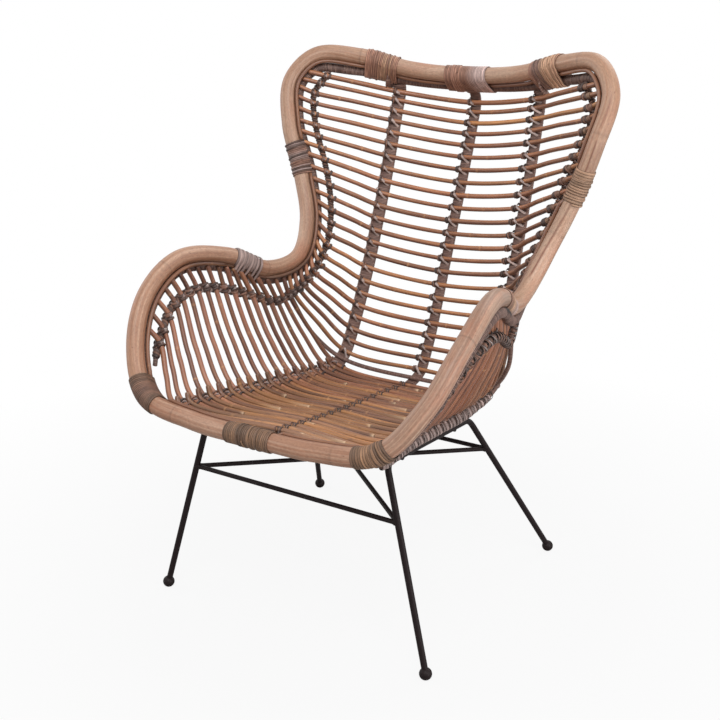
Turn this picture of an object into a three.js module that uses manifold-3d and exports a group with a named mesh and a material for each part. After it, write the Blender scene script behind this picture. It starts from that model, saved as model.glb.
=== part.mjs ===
// Rattan wing-back lounge chair: a shell of round canes in a thick pole rim, on a welded rod base.
// Millimetres, +Z up, the front towards -Y. Left and right are as seen from the front.
import * as THREE from "three";
import { mergeVertices } from "three/addons/utils/BufferGeometryUtils.js";
import Module from "manifold-3d";

const wasm = await Module();
wasm.setup();

// Driving sizes of the shell, all on the centreline of the rim pole
const shellHalfWidth = 367;
const shellDepth = 792;
const shellHeight = 1025;
const frontOverhang = 95; // the front edge stands this far before the line of the front feet

// Rattan
const poleDiameter = 34;
const linerDiameter = 18;
const linerInset = 30; // from the middle of the pole to the middle of the liner
const linerSetback = 9; // the liner lies this far behind the plane of the pole
const caneDiameter = 10;
const fillerDiameter = 10;
const stringerDiameter = 9.5;
const spineWidth = 24;
const spineThickness = 11;
const seatRailDiameter = 16;
const seatRailEndDiameter = 11;
const clearance = 0.35; // between pieces that touch
const jointGap = 0.6; // between cut ends that meet
const caneEndInset = 22.5; // cut ends of the canes, from the middle of the pole
const caneLift = 2.8; // extra rise of a cut end over the liner
const fusedDepth = 1.9; // how deep a lashed crossing of one piece is pressed together

// Cane bindings
const stripThickness = 1.6;
const stripPitch = 13;
const stripGap = 1.2;
const stripFit = 0.9; // between a strip and what it is wound on
const topBindingLength = 78;
const middleBindingLength = 106;
const wingBindingLength = 74;
const armBindingLength = 82;
const cornerBindingLength = 76;
const frontBindingLength = 90;

// Metal base
const legDiameter = 12;
const braceDiameter = 9;
const ballDiameter = 23.5;
const ballFlatDiameter = 10;
const bendLength = 18; // from the corner of a bend to where the rod is straight again
const frontTrack = 600; // between the middles of the front feet
const rearTrack = 600;
const wheelbase = 553; // front feet to rear feet
const sideRailRise = 31; // the front corner of a side rail stands this far over the rear one
const braceHeight = 278;
const frontTopShares = [0.542, 0.158]; // of the half width and depth of the shell
const rearBendShares = [0.529, 0.571];
const crossRodPlaceShares = [0.18, 0.82]; // along the side rail
const crossRodDrop = 5; // below the middle of the side rail

// Counts of faces
const rimSteps = 48; // from the top centre to the front centre
const poleSides = 8;
const linerSides = 5;
const caneSides = 5;
const rodSides = 8;
const ballSides = 10;
const stripSides = 4;
const caneTurn = THREE.MathUtils.degToRad(54); // brings a corner of a cane near its rails
const backSpanSteps = [1, 1, 2, 2, 2, 2, 1, 1];
const seatSpanSteps = [1, 2, 3, 3, 3, 3, 2, 1];
const fillerSpanSteps = [1, 2, 2, 1];
const hipSpanSteps = [3, 4, 3, 3, 4, 3];
const turnSteps = 10;

// The rim on the right, from the top centre over the wing and the arm to the front centre:
// shares of half width, depth and height, then the direction in which the shell goes inwards
const rimShares = [
  [0, 1, 0.963, 0, 0.5, -0.86],
  [0.354, 0.976, 0.972, 0.21, 0.37, -0.9],
  [0.652, 0.933, 0.9975, 0.14, 0, -0.99],
  [0.883, 0.876, 1, -0.43, -0.12, -0.9],
  [1, 0.827, 0.949, -0.87, 0.35, -0.35],
  [0.966, 0.791, 0.861, -0.76, 0.64, 0.07],
  [0.872, 0.782, 0.757, -0.79, 0.59, 0.16],
  [0.776, 0.745, 0.661, -0.74, 0.66, -0.13],
  [0.735, 0.671, 0.595, -0.65, 0.35, -0.67],
  [0.768, 0.55, 0.586, -0.14, -0.2, -0.97],
  [0.834, 0.42, 0.63, -0.07, -0.27, -0.96],
  [0.91, 0.275, 0.643, -0.25, 0.14, -0.96],
  [0.914, 0.154, 0.594, -0.41, 0.61, -0.67],
  [0.844, 0.071, 0.513, -0.39, 0.84, -0.37],
  [0.68, 0.018, 0.441, -0.24, 0.97, -0.08],
  [0.358, 0.006, 0.421, -0.05, 1, -0.05],
  [0, 0, 0.421, 0, 1, -0.03],
];

// Where the canes cross the rails on the right: the cane's number, the place of its end along
// half the rim, then shares of half width, depth and height on the side stringer, on the spine
// that runs on as the seat rail, and in the middle plane
const crossingShares = [
  [0, 0.21, 0.8, 0.874, 0.966, 0.448, 0.983, 0.9365, 0, 1.0263, 0.927],
  [1, 0.221, 0.809, 0.872, 0.957, 0.447, 0.988, 0.923, 0, 1.041, 0.905],
  [3, 0.25, 0.868, 0.85, 0.922, 0.451, 0.975, 0.884, 0, 1.025, 0.863],
  [6, 0.297, 0.838, 0.836, 0.855, 0.454, 0.949, 0.814, 0, 0.993, 0.794],
  [9, 0.342, 0.766, 0.828, 0.784, 0.456, 0.917, 0.738, 0, 0.954, 0.717],
  [12, 0.389, 0.697, 0.811, 0.705, 0.461, 0.881, 0.66, 0, 0.913, 0.64],
  [15, 0.428, 0.654, 0.774, 0.631, 0.466, 0.847, 0.585, 0, 0.873, 0.563],
  [18, 0.461, 0.643, 0.714, 0.576, 0.475, 0.808, 0.503, 0, 0.833, 0.484],
  [20, 0.481, 0.658, 0.67, 0.55, 0.483, 0.784, 0.453, 0, 0.805, 0.434],
  [22, 0.499, 0.677, 0.634, 0.534, 0.492, 0.757, 0.404, 0, 0.773, 0.389],
  [23, 0.507, 0.688, 0.616, 0.527, 0.494, 0.738, 0.382, 0, 0.753, 0.369],
  [24, 0.515, 0.697, 0.602, 0.522, 0.491, 0.684, 0.366, 0, 0.668, 0.355],
  [26, 0.538, 0.722, 0.561, 0.517, 0.498, 0.6, 0.367, 0, 0.583, 0.36],
  [29, 0.579, 0.774, 0.48, 0.544, 0.518, 0.502, 0.375, 0, 0.477, 0.368],
  [32, 0.615, 0.822, 0.395, 0.57, 0.529, 0.387, 0.385, 0, 0.385, 0.374],
  [35, 0.664, 0.86, 0.311, 0.58, 0.551, 0.279, 0.395, 0, 0.284, 0.383],
  [38, 0.711, 0.857, 0.226, 0.564, 0.585, 0.178, 0.404, 0, 0.195, 0.393],
  [41, 0.771, 0.804, 0.137, 0.507, 0.621, 0.082, 0.412, 0, 0.106, 0.405],
  [42, 0.79, 0.766, 0.101, 0.479, 0.638, 0.046, 0.42, 0, 0.0537, 0.4125],
];
const lastRow = crossingShares.at(-1)[0];
const lastBackCane = 23;
const lastSeatCane = 41;
const hipCane = lastBackCane + 0.5; // the hip rod runs between these canes
const seatJointCane = hipCane + 0.1; // the centre spine ends and the centre seat stringer starts
const seatRailCane = hipCane + 4; // from here the flat spine is a round seat rail
const slimStartCane = seatRailCane + 4.5; // the seat rail slims between these
const slimEndCane = lastSeatCane - 2;
const railEndCane = lastSeatCane + 0.5;
const bellyStartCane = lastBackCane - 11;
const wallBellyShare = 0.06;
const fillerReachShare = 0.12; // how far a filler runs up the wall
const spreadShare = 0.05; // of the way between two canes, to read the direction of a rail

// Half of the outline of a flat spine, two rods wrapped side by side, as shares of its half sizes
const flatOutlineShares = [
  [1, -0.45],
  [1, 0.45],
  [0.62, 1],
  [-0.62, 1],
  [-1, 0.45],
  [-1, -0.45],
  [-0.62, -1],
  [0.62, -1],
];

const poleRadius = poleDiameter / 2;
const linerRadius = linerDiameter / 2;
const caneRadius = caneDiameter / 2;
const stringerRadius = stringerDiameter / 2;

const materials = {
  pole: new THREE.MeshStandardMaterial({ color: 0xb9937a, roughness: 0.55, metalness: 0 }),
  wrapped: new THREE.MeshStandardMaterial({ color: 0x5a453d, roughness: 0.8, metalness: 0 }),
  cane: new THREE.MeshStandardMaterial({ color: 0x8d5f48, roughness: 0.5, metalness: 0 }),
  binding: new THREE.MeshStandardMaterial({ color: 0x77604f, roughness: 0.7, metalness: 0 }),
  metal: new THREE.MeshStandardMaterial({ color: 0x231d1d, roughness: 0.45, metalness: 0.6 }),
};

function shellPoint(widthShare, depthShare, heightShare) {
  return new THREE.Vector3(
    widthShare * shellHalfWidth,
    depthShare * shellDepth - frontOverhang,
    heightShare * shellHeight,
  );
}

function mirror(vector) {
  return new THREE.Vector3(-vector.x, vector.y, vector.z);
}

function polygon(sides, turn = 0) {
  return Array.from({ length: sides }, (_, i) => {
    const angle = turn + (2 * Math.PI * i) / sides;
    return new THREE.Vector2(Math.cos(angle), Math.sin(angle));
  });
}

// A solid swept through places. A place holds its point, two directions across the sweep and the
// half sizes along them; the outline is in shares of those.
function sweep(places, outline) {
  const points = [];
  for (const place of places)
    for (const corner of outline)
      points.push(
        place.at
          .clone()
          .addScaledVector(place.across, corner.x * place.halfWidth)
          .addScaledVector(place.out, corner.y * place.halfThickness),
      );
  return skin(points, outline.length);
}

// The closed skin over rings of points, with a fan at each end
function skin(points, ringSize) {
  const index = [];
  const rings = points.length / ringSize;
  for (let ring = 0; ring < rings - 1; ring++)
    for (let i = 0; i < ringSize; i++) {
      const a = ring * ringSize + i;
      const b = ring * ringSize + ((i + 1) % ringSize);
      index.push(a, b, b + ringSize, a, b + ringSize, a + ringSize);
    }
  const last = (rings - 1) * ringSize;
  for (let i = 1; i < ringSize - 1; i++) {
    index.push(0, i + 1, i);
    index.push(last, last + i, last + i + 1);
  }
  const geometry = new THREE.BufferGeometry().setFromPoints(points);
  geometry.setIndex(index);
  geometry.computeVertexNormals();
  return geometry;
}

// Places along a row of points, turned as little as possible from one to the next
function placesAlong(points, radius, firstAcross) {
  let across = firstAcross.clone();
  return points.map((at, i) => {
    const before = points[Math.max(i - 1, 0)];
    const after = points[Math.min(i + 1, points.length - 1)];
    const along = after.clone().sub(before).normalize();
    across = across.clone().addScaledVector(along, -across.dot(along)).normalize();
    const out = along.clone().cross(across);
    return { at, across, out, halfWidth: radius, halfThickness: radius };
  });
}

function rod(points, diameter, sides, firstAcross = new THREE.Vector3(0, 0, 1), turn = 0) {
  return sweep(placesAlong(points, diameter / 2, firstAcross), polygon(sides, turn));
}

// Steps along a smooth curve through knots, with a set count of steps in each span
function pointsThrough(knots, spanSteps) {
  const curve = new THREE.CatmullRomCurve3(knots, false, "centripetal");
  const points = [];
  spanSteps.forEach((steps, span) => {
    for (let i = 0; i < steps; i++) points.push(curve.getPoint((span + i / steps) / spanSteps.length));
  });
  points.push(curve.getPoint(1));
  return points;
}

function solidOf(geometry) {
  const bare = new THREE.BufferGeometry();
  bare.setAttribute("position", geometry.getAttribute("position").clone());
  bare.setIndex(geometry.getIndex() ? geometry.getIndex().clone() : null);
  const merged = mergeVertices(bare);
  return new wasm.Manifold(
    new wasm.Mesh({
      numProp: 3,
      vertProperties: merged.getAttribute("position").array,
      triVerts: new Uint32Array(merged.getIndex().array),
    }),
  );
}

function geometryOf(solid) {
  const made = solid.getMesh();
  const geometry = new THREE.BufferGeometry();
  geometry.setAttribute("position", new THREE.BufferAttribute(made.vertProperties, 3));
  geometry.setIndex(new THREE.BufferAttribute(made.triVerts, 1));
  geometry.computeVertexNormals();
  return geometry;
}

function joined(geometries) {
  return geometryOf(geometries.map(solidOf).reduce((whole, piece) => whole.add(piece)));
}

// The rim
const rimHalf = rimShares.map((row) => shellPoint(...row.slice(0, 3)));
const inwardHalf = rimShares.map((row) => new THREE.Vector3(...row.slice(3)));
function loopOf(half) {
  return new THREE.CatmullRomCurve3(
    [...half, ...half.slice(1, -1).reverse().map(mirror)],
    true,
    "centripetal",
  );
}
const rimCurve = loopOf(rimHalf);
const inwardCurve = loopOf(inwardHalf);
rimCurve.arcLengthDivisions = rimSteps * rimShares.length;
const rimHalfLength = rimCurve.getLength() / 2;
const rimPlaces = Array.from({ length: rimSteps + 1 }, (_, i) => {
  const t = rimCurve.getUtoTmapping(i / rimSteps / 2);
  const along = rimCurve.getTangent(t);
  const inward = inwardCurve.getPoint(t);
  inward.addScaledVector(along, -inward.dot(along)).normalize();
  return { at: rimCurve.getPoint(t), inward, front: inward.clone().cross(along) };
});

// A place along the rim: 0 is the top centre, 1 the front centre on the right, -1 on the left
function rimPlace(share) {
  const step = Math.min(Math.abs(share), 1) * rimSteps;
  const low = Math.min(Math.floor(step), rimSteps - 1);
  const place = {};
  for (const key of ["at", "inward", "front"]) {
    place[key] = rimPlaces[low][key].clone().lerp(rimPlaces[low + 1][key], step - low);
    if (share < 0) place[key] = mirror(place[key]);
  }
  return place;
}

// The point at a distance inwards from the middle of the pole and before its plane
function rimPoint(share, inset, rise) {
  const { at, inward, front } = rimPlace(share);
  return at.clone().addScaledVector(inward, inset).addScaledVector(front, rise);
}

// A rod that follows the rim between two shares, through every step of the rim between them
function rimRod(from, to, inset, rise, radius, sides) {
  const shares = [from];
  for (let step = Math.floor(from * rimSteps) + 1; step < to * rimSteps; step++)
    shares.push(step / rimSteps);
  shares.push(to);
  const places = shares.map((share) => {
    const { inward, front } = rimPlace(share);
    const at = rimPoint(share, inset, rise);
    return { at, across: front, out: inward, halfWidth: radius, halfThickness: radius };
  });
  return sweep(places, polygon(sides, Math.PI / sides));
}

// The two poles of the rim, cut slantwise where they meet under the arm bindings
const armJointShare = 0.571;
const scarfOverrun = 0.03;
const scarfSlant = THREE.MathUtils.degToRad(40);
function scarfCut(solid, side, offset) {
  const at = rimPoint(side * armJointShare, 0, 0);
  const normal = new THREE.Vector3(side * Math.sin(scarfSlant), -Math.cos(scarfSlant), 0);
  if (offset < 0) normal.negate();
  return solid.trimByPlane(normal.toArray(), normal.dot(at) + jointGap / 2);
}

function backPole() {
  const end = armJointShare + scarfOverrun;
  let pole = solidOf(rimRod(-end, end, 0, 0, poleRadius, poleSides));
  for (const side of [-1, 1]) pole = scarfCut(pole, side, -1);
  return geometryOf(pole);
}

function frontPole() {
  const start = armJointShare - scarfOverrun;
  const right = solidOf(rimRod(start, 1, 0, 0, poleRadius, poleSides));
  const left = solidOf(rimRod(-1, -start, 0, 0, poleRadius, poleSides));
  return geometryOf(scarfCut(right, 1, 1).add(scarfCut(left, -1, 1)));
}

function liner() {
  const end = 1 - jointGap / rimHalfLength;
  return rimRod(-end, end, linerInset, -linerSetback, linerRadius, linerSides);
}

// Crossings of canes and rails
function rowOf(cane) {
  const next = crossingShares.findIndex((row) => row[0] > cane);
  const high = next < 0 ? crossingShares.length - 1 : Math.max(next, 1);
  const [from, to] = [crossingShares[high - 1], crossingShares[high]];
  return high - 1 + (cane - from[0]) / (to[0] - from[0]);
}

function guide(column) {
  const knots = crossingShares.map((row) => shellPoint(...row.slice(column, column + 3)));
  const curve = new THREE.CatmullRomCurve3(knots, false, "centripetal");
  return (cane) => curve.getPoint(rowOf(cane) / (knots.length - 1));
}
const armCrossing = guide(2);
const spineCrossing = guide(5);
const middleCrossing = guide(8);

function caneEnd(cane) {
  const row = rowOf(cane);
  const low = Math.min(Math.floor(row), crossingShares.length - 2);
  const share = THREE.MathUtils.lerp(crossingShares[low][1], crossingShares[low + 1][1], row - low);
  const rise = linerRadius - linerSetback + caneRadius + clearance + caneLift;
  return rimPoint(share, caneEndInset, rise);
}

// Half way down the wall a cane bellies outwards by a share of the length between its crossings
function wallPoint(cane) {
  const chord = spineCrossing(cane).sub(armCrossing(cane));
  const along = armCrossing(Math.min(cane + 1, lastRow)).sub(armCrossing(cane - 1));
  const belly = wallBellyShare * THREE.MathUtils.smoothstep(cane, bellyStartCane, lastBackCane);
  const outward = along.cross(chord).setLength(belly * chord.length());
  return armCrossing(cane).addScaledVector(chord, 0.5).add(outward);
}

function caneKnots(cane) {
  const half = [caneEnd(cane), armCrossing(cane), wallPoint(cane), spineCrossing(cane)];
  return [...half, middleCrossing(cane), ...half.map(mirror).reverse()];
}

// Where a rail runs: below its guide by a depth, with directions across it and towards the sitter
function railPlace(crossing, cane, depth, halfWidth, halfThickness) {
  const before = Math.max(cane - spreadShare, 0);
  const after = Math.min(cane + spreadShare, lastRow);
  const along = crossing(after).sub(crossing(before)).normalize();
  const outer = crossing === armCrossing ? caneEnd(cane) : armCrossing(cane);
  const inner = crossing === armCrossing ? spineCrossing(cane) : middleCrossing(cane);
  const across = outer.sub(inner);
  if (crossing === middleCrossing) across.set(1, 0, 0);
  across.addScaledVector(along, -across.dot(along)).normalize();
  const out = along.clone().cross(across);
  const at = crossing(cane).addScaledVector(out, -depth);
  return { at, across, out, halfWidth, halfThickness };
}

function mirrored(places) {
  return places.map((place) => ({
    ...place,
    at: mirror(place.at),
    across: mirror(place.across).negate(),
    out: mirror(place.out),
  }));
}

function range(from, to, step) {
  return Array.from({ length: Math.floor((to - from) / step) + 1 }, (_, i) => from + i * step);
}

const flatOutline = flatOutlineShares.map((corner) => new THREE.Vector2(...corner));

// A flat spine down the back that grows round under the seat and runs on to the front
function sideSpine() {
  const back = [...range(0, 3, 1), ...range(6, 18, 3), ...range(20, 23, 1), hipCane];
  const seat = [...range(24, 26, 0.5), 27, 28, ...range(30, 36, 3), ...range(38, 41, 1), railEndCane];
  return [...back, ...seat].map((cane) => {
    const round = THREE.MathUtils.smoothstep(cane, hipCane, seatRailCane);
    const slim = THREE.MathUtils.smoothstep(cane, slimStartCane, slimEndCane);
    const railDiameter = THREE.MathUtils.lerp(seatRailDiameter, seatRailEndDiameter, slim);
    const width = THREE.MathUtils.lerp(spineWidth, railDiameter, round);
    const thickness = THREE.MathUtils.lerp(spineThickness, railDiameter, round);
    const depth = caneRadius + clearance + thickness / 2;
    return railPlace(spineCrossing, cane, depth, width / 2, thickness / 2);
  });
}

function centreSpine() {
  const depth = caneRadius + clearance + spineThickness / 2;
  const back = [...range(0, 3, 1), ...range(6, 15, 3), ...range(17, 23, 1)];
  const canes = [...back, hipCane, seatJointCane];
  const places = canes.map((cane) =>
    railPlace(middleCrossing, cane, depth, spineWidth / 2, spineThickness / 2),
  );
  return sweep(places, flatOutline);
}

// The centre seat stringer with the short canes that close the seat, lashed down on it
function seatFillers() {
  const depth = caneRadius + jointGap + spineThickness / 2;
  const hipStep = middleCrossing(lastBackCane).distanceTo(middleCrossing(lastBackCane + 1));
  const start = seatJointCane + jointGap / hipStep;
  const canes = [start, ...range(24, 26, 1), ...range(28, 38, 2), ...range(39, 42, 1)];
  const places = canes.map((cane) =>
    railPlace(middleCrossing, cane, depth, spineWidth / 2, spineThickness / 2),
  );
  const pieces = [sweep(places, flatOutline)];
  const drop = clearance + fusedDepth + (caneDiameter - fillerDiameter) / 2;
  for (let cane = lastBackCane + 1.5; cane < lastSeatCane; cane++) {
    const middle = middleCrossing(cane);
    middle.z -= drop;
    const side = spineCrossing(cane);
    const end = side.clone().lerp(armCrossing(cane), fillerReachShare);
    const knots = [end, side, middle, mirror(side), mirror(end)];
    pieces.push(rod(pointsThrough(knots, fillerSpanSteps), fillerDiameter, caneSides));
  }
  return joined(pieces);
}

// Both side stringers and the hip rod that joins them behind the sitter
function sideHoop() {
  const depth = caneRadius + clearance + stringerRadius;
  const canes = [...range(0, 6, 1), ...range(8, 18, 2), ...range(20, 41, 1), 42];
  const right = canes.map((cane) =>
    railPlace(armCrossing, cane, depth, stringerRadius, stringerRadius),
  );
  const outline = polygon(caneSides);
  const elbow = railPlace(armCrossing, hipCane, depth, 0, 0);
  const flank = railPlace(spineCrossing, hipCane, 0, 0, 0);
  const lift = stringerRadius - caneRadius;
  const side = spineCrossing(hipCane).addScaledVector(flank.out, lift);
  const middle = middleCrossing(hipCane);
  middle.addScaledVector(railPlace(middleCrossing, hipCane, 0, 0, 0).out, lift);
  const wall = elbow.at.clone().lerp(side, 0.5).addScaledVector(flank.out, -spineWidth);
  const half = [elbow.at, wall, side];
  const knots = [...half, middle, ...half.map(mirror).reverse()];
  const hip = rod(pointsThrough(knots, hipSpanSteps), stringerDiameter, caneSides);
  return joined([sweep(right, outline), sweep(mirrored(right), outline), hip]);
}

// Bindings: a flat strip of cane wound round the pole, or round the pole and the liner together
let leastStripGap = Infinity;
function woundOutline(aroundLiner, extra) {
  const span = new THREE.Vector2(-linerSetback, linerInset);
  const faces = polygon(turnSteps, span.angle());
  const reach = (face) => {
    const overLiner = aroundLiner ? face.dot(span) + linerRadius : 0;
    return Math.max(poleRadius, overLiner) + stripFit + extra;
  };
  return faces.map((face, i) => {
    const next = faces[(i + 1) % turnSteps];
    const [near, far] = [reach(face), reach(next)];
    return new THREE.Vector2(
      near * next.y - far * face.y,
      far * face.x - near * next.x,
    ).divideScalar(face.cross(next));
  });
}

function binding(centreShare, length, aroundLiner) {
  const turns = Math.round(length / stripPitch);
  const pitch = length / turns / rimHalfLength;
  const width = pitch - stripGap / rimHalfLength;
  const inner = woundOutline(aroundLiner, 0);
  const outer = woundOutline(aroundLiner, stripThickness);
  const start = centreShare - (length / rimHalfLength - width) / 2;
  const points = [];
  for (let step = 0; step <= (turns - 1) * turnSteps + turnSteps - 1; step++) {
    const middle = start + (pitch * step) / turnSteps;
    const corner = step % turnSteps;
    const ring = [
      [middle - width / 2, inner[corner]],
      [middle + width / 2, inner[corner]],
      [middle + width / 2, outer[corner]],
      [middle - width / 2, outer[corner]],
    ];
    for (const [share, place] of ring) points.push(woundPoint(share, place));
  }
  measureGap(points);
  return skin(points, stripSides);
}

// Past the front centre the strip goes on along the other half of the rim
function woundPoint(share, place) {
  const wrapped = share > 1 ? share - 2 : share;
  return rimPoint(wrapped, place.y, place.x);
}

function measureGap(points) {
  const turn = stripSides * turnSteps;
  for (let i = 0; i + turn < points.length; i += stripSides) {
    const trailing = [points[i + 1], points[i + 2]];
    const leading = [points[i + turn], points[i + turn + 3]];
    trailing.forEach((point, k) => {
      leastStripGap = Math.min(leastStripGap, point.distanceTo(leading[k]));
    });
  }
}

// Metal base
const ballCentreHeight = Math.sqrt((ballDiameter / 2) ** 2 - (ballFlatDiameter / 2) ** 2);
const frontFoot = new THREE.Vector3(frontTrack / 2, 0, ballCentreHeight);
const rearFoot = new THREE.Vector3(rearTrack / 2, wheelbase, ballCentreHeight);
const frontTop = shellPoint(...frontTopShares, 0);
const rearBend = shellPoint(...rearBendShares, 0);
frontTop.z = sideRailHeight() + sideRailRise;
rearBend.z = sideRailHeight();

// The height of a side rail at its rear, so that it lies close under the seat rail
function sideRailHeight() {
  const heights = sideSpine().map(({ at, across, out, halfWidth, halfThickness }) => {
    const share = (at.y - rearBend.y) / (frontTop.y - rearBend.y);
    const beside = Math.abs(at.x - THREE.MathUtils.lerp(rearBend.x, frontTop.x, share));
    if (share < 0 || share > 1 || beside > halfWidth) return Infinity;
    const drops = flatOutline.map(
      (corner) => across.z * corner.x * halfWidth + out.z * corner.y * halfThickness,
    );
    return at.z + Math.min(...drops) - clearance - legDiameter / 2 - share * sideRailRise;
  });
  return Math.min(...heights);
}

function atHeight(from, to, height) {
  return from.clone().lerp(to, (height - from.z) / (to.z - from.z));
}

// A rod bent at its corners
function bentPath(corners) {
  const points = [corners[0]];
  const bendSteps = 4;
  for (let i = 1; i < corners.length - 1; i++) {
    const [before, corner, after] = corners.slice(i - 1, i + 2);
    const start = corner.clone().addScaledVector(before.clone().sub(corner).normalize(), bendLength);
    const end = corner.clone().addScaledVector(after.clone().sub(corner).normalize(), bendLength);
    points.push(...new THREE.QuadraticBezierCurve3(start, corner, end).getPoints(bendSteps));
  }
  points.push(corners.at(-1));
  return points;
}

// A ball foot with a flat underside
function ballFoot(centre) {
  const arcSteps = 6;
  const flatAngle = Math.asin(ballFlatDiameter / ballDiameter);
  const profile = [new THREE.Vector2(0, -ballCentreHeight)];
  for (let i = 0; i <= arcSteps; i++) {
    const angle = flatAngle + ((Math.PI - flatAngle) * i) / arcSteps;
    profile.push(
      new THREE.Vector2(Math.sin(angle), -Math.cos(angle)).multiplyScalar(ballDiameter / 2),
    );
  }
  profile.at(-1).x = 0;
  const ball = new THREE.LatheGeometry(profile, ballSides);
  ball.rotateX(Math.PI / 2);
  ball.translate(centre.x, centre.y, centre.z);
  return ball;
}

function baseFrame() {
  const pieces = [];
  const frontJoint = atHeight(frontFoot, frontTop, braceHeight);
  const rearJoint = atHeight(rearFoot, rearBend, braceHeight);
  const brace = (from, to) => pieces.push(rod([from, to], braceDiameter, rodSides));
  for (const side of [(point) => point.clone(), mirror]) {
    const corners = [frontFoot, frontTop, rearBend, rearFoot].map(side);
    pieces.push(rod(bentPath(corners), legDiameter, rodSides, new THREE.Vector3(1, 0, 0)));
    pieces.push(ballFoot(side(frontFoot)), ballFoot(side(rearFoot)));
    brace(side(frontJoint), mirror(side(rearJoint)));
  }
  brace(frontJoint, mirror(frontJoint));
  brace(rearJoint, mirror(rearJoint));
  for (const share of crossRodPlaceShares) {
    const place = frontTop.clone().lerp(rearBend, share);
    place.z -= crossRodDrop;
    brace(place, mirror(place));
  }
  return joined(pieces);
}

// The chair
const chair = new THREE.Group();
const shell = new THREE.Group();
const base = new THREE.Group();
chair.add(shell, base);

function add(group, name, geometry, material) {
  const mesh = new THREE.Mesh(geometry, material);
  mesh.name = name;
  group.add(mesh);
}

add(shell, "back_pole", backPole(), materials.pole);
add(shell, "front_pole", frontPole(), materials.pole);
add(shell, "liner", liner(), materials.wrapped);
add(shell, "centre_spine", centreSpine(), materials.wrapped);
add(shell, "right_spine", sweep(sideSpine(), flatOutline), materials.wrapped);
add(shell, "left_spine", sweep(mirrored(sideSpine()), flatOutline), materials.wrapped);
add(shell, "seat_fillers", seatFillers(), materials.cane);
add(shell, "side_hoop", sideHoop(), materials.wrapped);

for (let cane = 1; cane <= lastSeatCane; cane++) {
  const onBack = cane <= lastBackCane;
  const number = String(onBack ? cane : cane - lastBackCane).padStart(2, "0");
  const points = pointsThrough(caneKnots(cane), onBack ? backSpanSteps : seatSpanSteps);
  const geometry = rod(points, caneDiameter, caneSides, new THREE.Vector3(0, 0, 1), caneTurn);
  add(shell, (onBack ? "back_cane_" : "seat_cane_") + number, geometry, materials.cane);
}

const topShare = 0.113;
const wingShare = 0.347;
const cornerShare = 0.855;
add(shell, "binding_top_centre", binding(0, middleBindingLength, true), materials.binding);
add(shell, "binding_front_centre", binding(1, frontBindingLength, true), materials.binding);
for (const [side, sign] of [
  ["left", -1],
  ["right", 1],
]) {
  const wound = (place, share, length, aroundLiner) =>
    add(shell, `binding_${place}_${side}`, binding(sign * share, length, aroundLiner), materials.binding);
  wound("top", topShare, topBindingLength, true);
  wound("wing", wingShare, wingBindingLength, false);
  wound("arm", armJointShare, armBindingLength, false);
  wound("corner", cornerShare, cornerBindingLength, true);
}

add(base, "base_frame", baseFrame(), materials.metal);

// The origin is under the middle of the chair, on the floor
const box = new THREE.Box3().setFromObject(chair);
chair.position.y = -(box.min.y + box.max.y) / 2;
chair.updateMatrixWorld(true);
console.log("least gap between turns of a binding:", leastStripGap.toFixed(2), "mm");

export default chair;
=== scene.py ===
"""Looks of a rattan wing-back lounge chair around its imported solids. Metres, +Z up, front to -Y."""

import math

import bpy
import numpy as np
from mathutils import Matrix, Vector

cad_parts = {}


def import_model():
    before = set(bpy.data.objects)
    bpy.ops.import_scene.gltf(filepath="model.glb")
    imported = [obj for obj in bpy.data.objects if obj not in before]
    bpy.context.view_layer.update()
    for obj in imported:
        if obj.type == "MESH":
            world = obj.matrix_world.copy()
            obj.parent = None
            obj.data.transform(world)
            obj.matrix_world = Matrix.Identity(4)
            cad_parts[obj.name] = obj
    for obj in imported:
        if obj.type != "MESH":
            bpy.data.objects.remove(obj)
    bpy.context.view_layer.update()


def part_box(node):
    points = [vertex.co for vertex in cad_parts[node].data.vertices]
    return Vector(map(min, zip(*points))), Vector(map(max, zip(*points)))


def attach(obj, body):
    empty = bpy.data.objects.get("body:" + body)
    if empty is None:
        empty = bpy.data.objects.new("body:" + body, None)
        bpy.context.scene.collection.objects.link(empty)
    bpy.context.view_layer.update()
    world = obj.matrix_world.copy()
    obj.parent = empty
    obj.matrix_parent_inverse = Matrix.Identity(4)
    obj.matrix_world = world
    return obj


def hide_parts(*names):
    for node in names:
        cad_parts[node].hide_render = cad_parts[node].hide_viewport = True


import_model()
chance = np.random.default_rng(11)  # seeded, so that each run draws the same

# The shell, on the centreline of the rim pole
SHELL_HALF_WIDTH = 0.367
SHELL_DEPTH = 0.792
SHELL_HEIGHT = 1.025
FRONT_OVERHANG = 0.095

# Rods and canes. Insets and rises are from the middle of the pole
POLE_RADIUS = 0.017
LINER_RADIUS = 0.0102
LINER_TOP_INSET = 0.0335
LINER_SIDE_INSET = 0.0238
LINER_SETBACK = 0.009
MOULDING_RADIUS = 0.0038
MOULDING_INSET = 0.0195
MOULDING_RISE = 0.0118
CANE_RADIUS = 0.005
FILLER_RADIUS = 0.005
STRINGER_RADIUS = 0.00475
SPINE_WIDTH = 0.024
SPINE_THICKNESS = 0.011
SIDE_SPINE_WIDTH = 0.029
SEAT_RAIL_DIAMETER = 0.016
SEAT_RAIL_END_DIAMETER = 0.011
CLEARANCE = 0.00035
CANE_END_INSET = 0.0225
CANE_END_RISE = 0.0035
CUT_GAP = 0.0006

# Strips of cane: what is left between them and what they go round, and their thickness
STRAP_THICKNESS = 0.0011
STRAP_FIT = 0.0006
STRAP_BACK_FIT = 0.0008
HITCH_FIT = 0.0003
SLEEVE_SHIFT = -0.0085  # a hitch beyond this is a flat sleeve
WINDING_PITCH = 0.0118
STRIP_THICKNESS = 0.0016
LOOSE_LIFT = 0.0021

# Turns of a wrapping, and the steps along rods and poles
WRAP_PITCH = 0.0032
WRAP_STEP = WRAP_PITCH / 4
WRAP_GROOVE = 0.07
POLE_STEP = 0.003
CANE_STEP = 0.003

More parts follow.
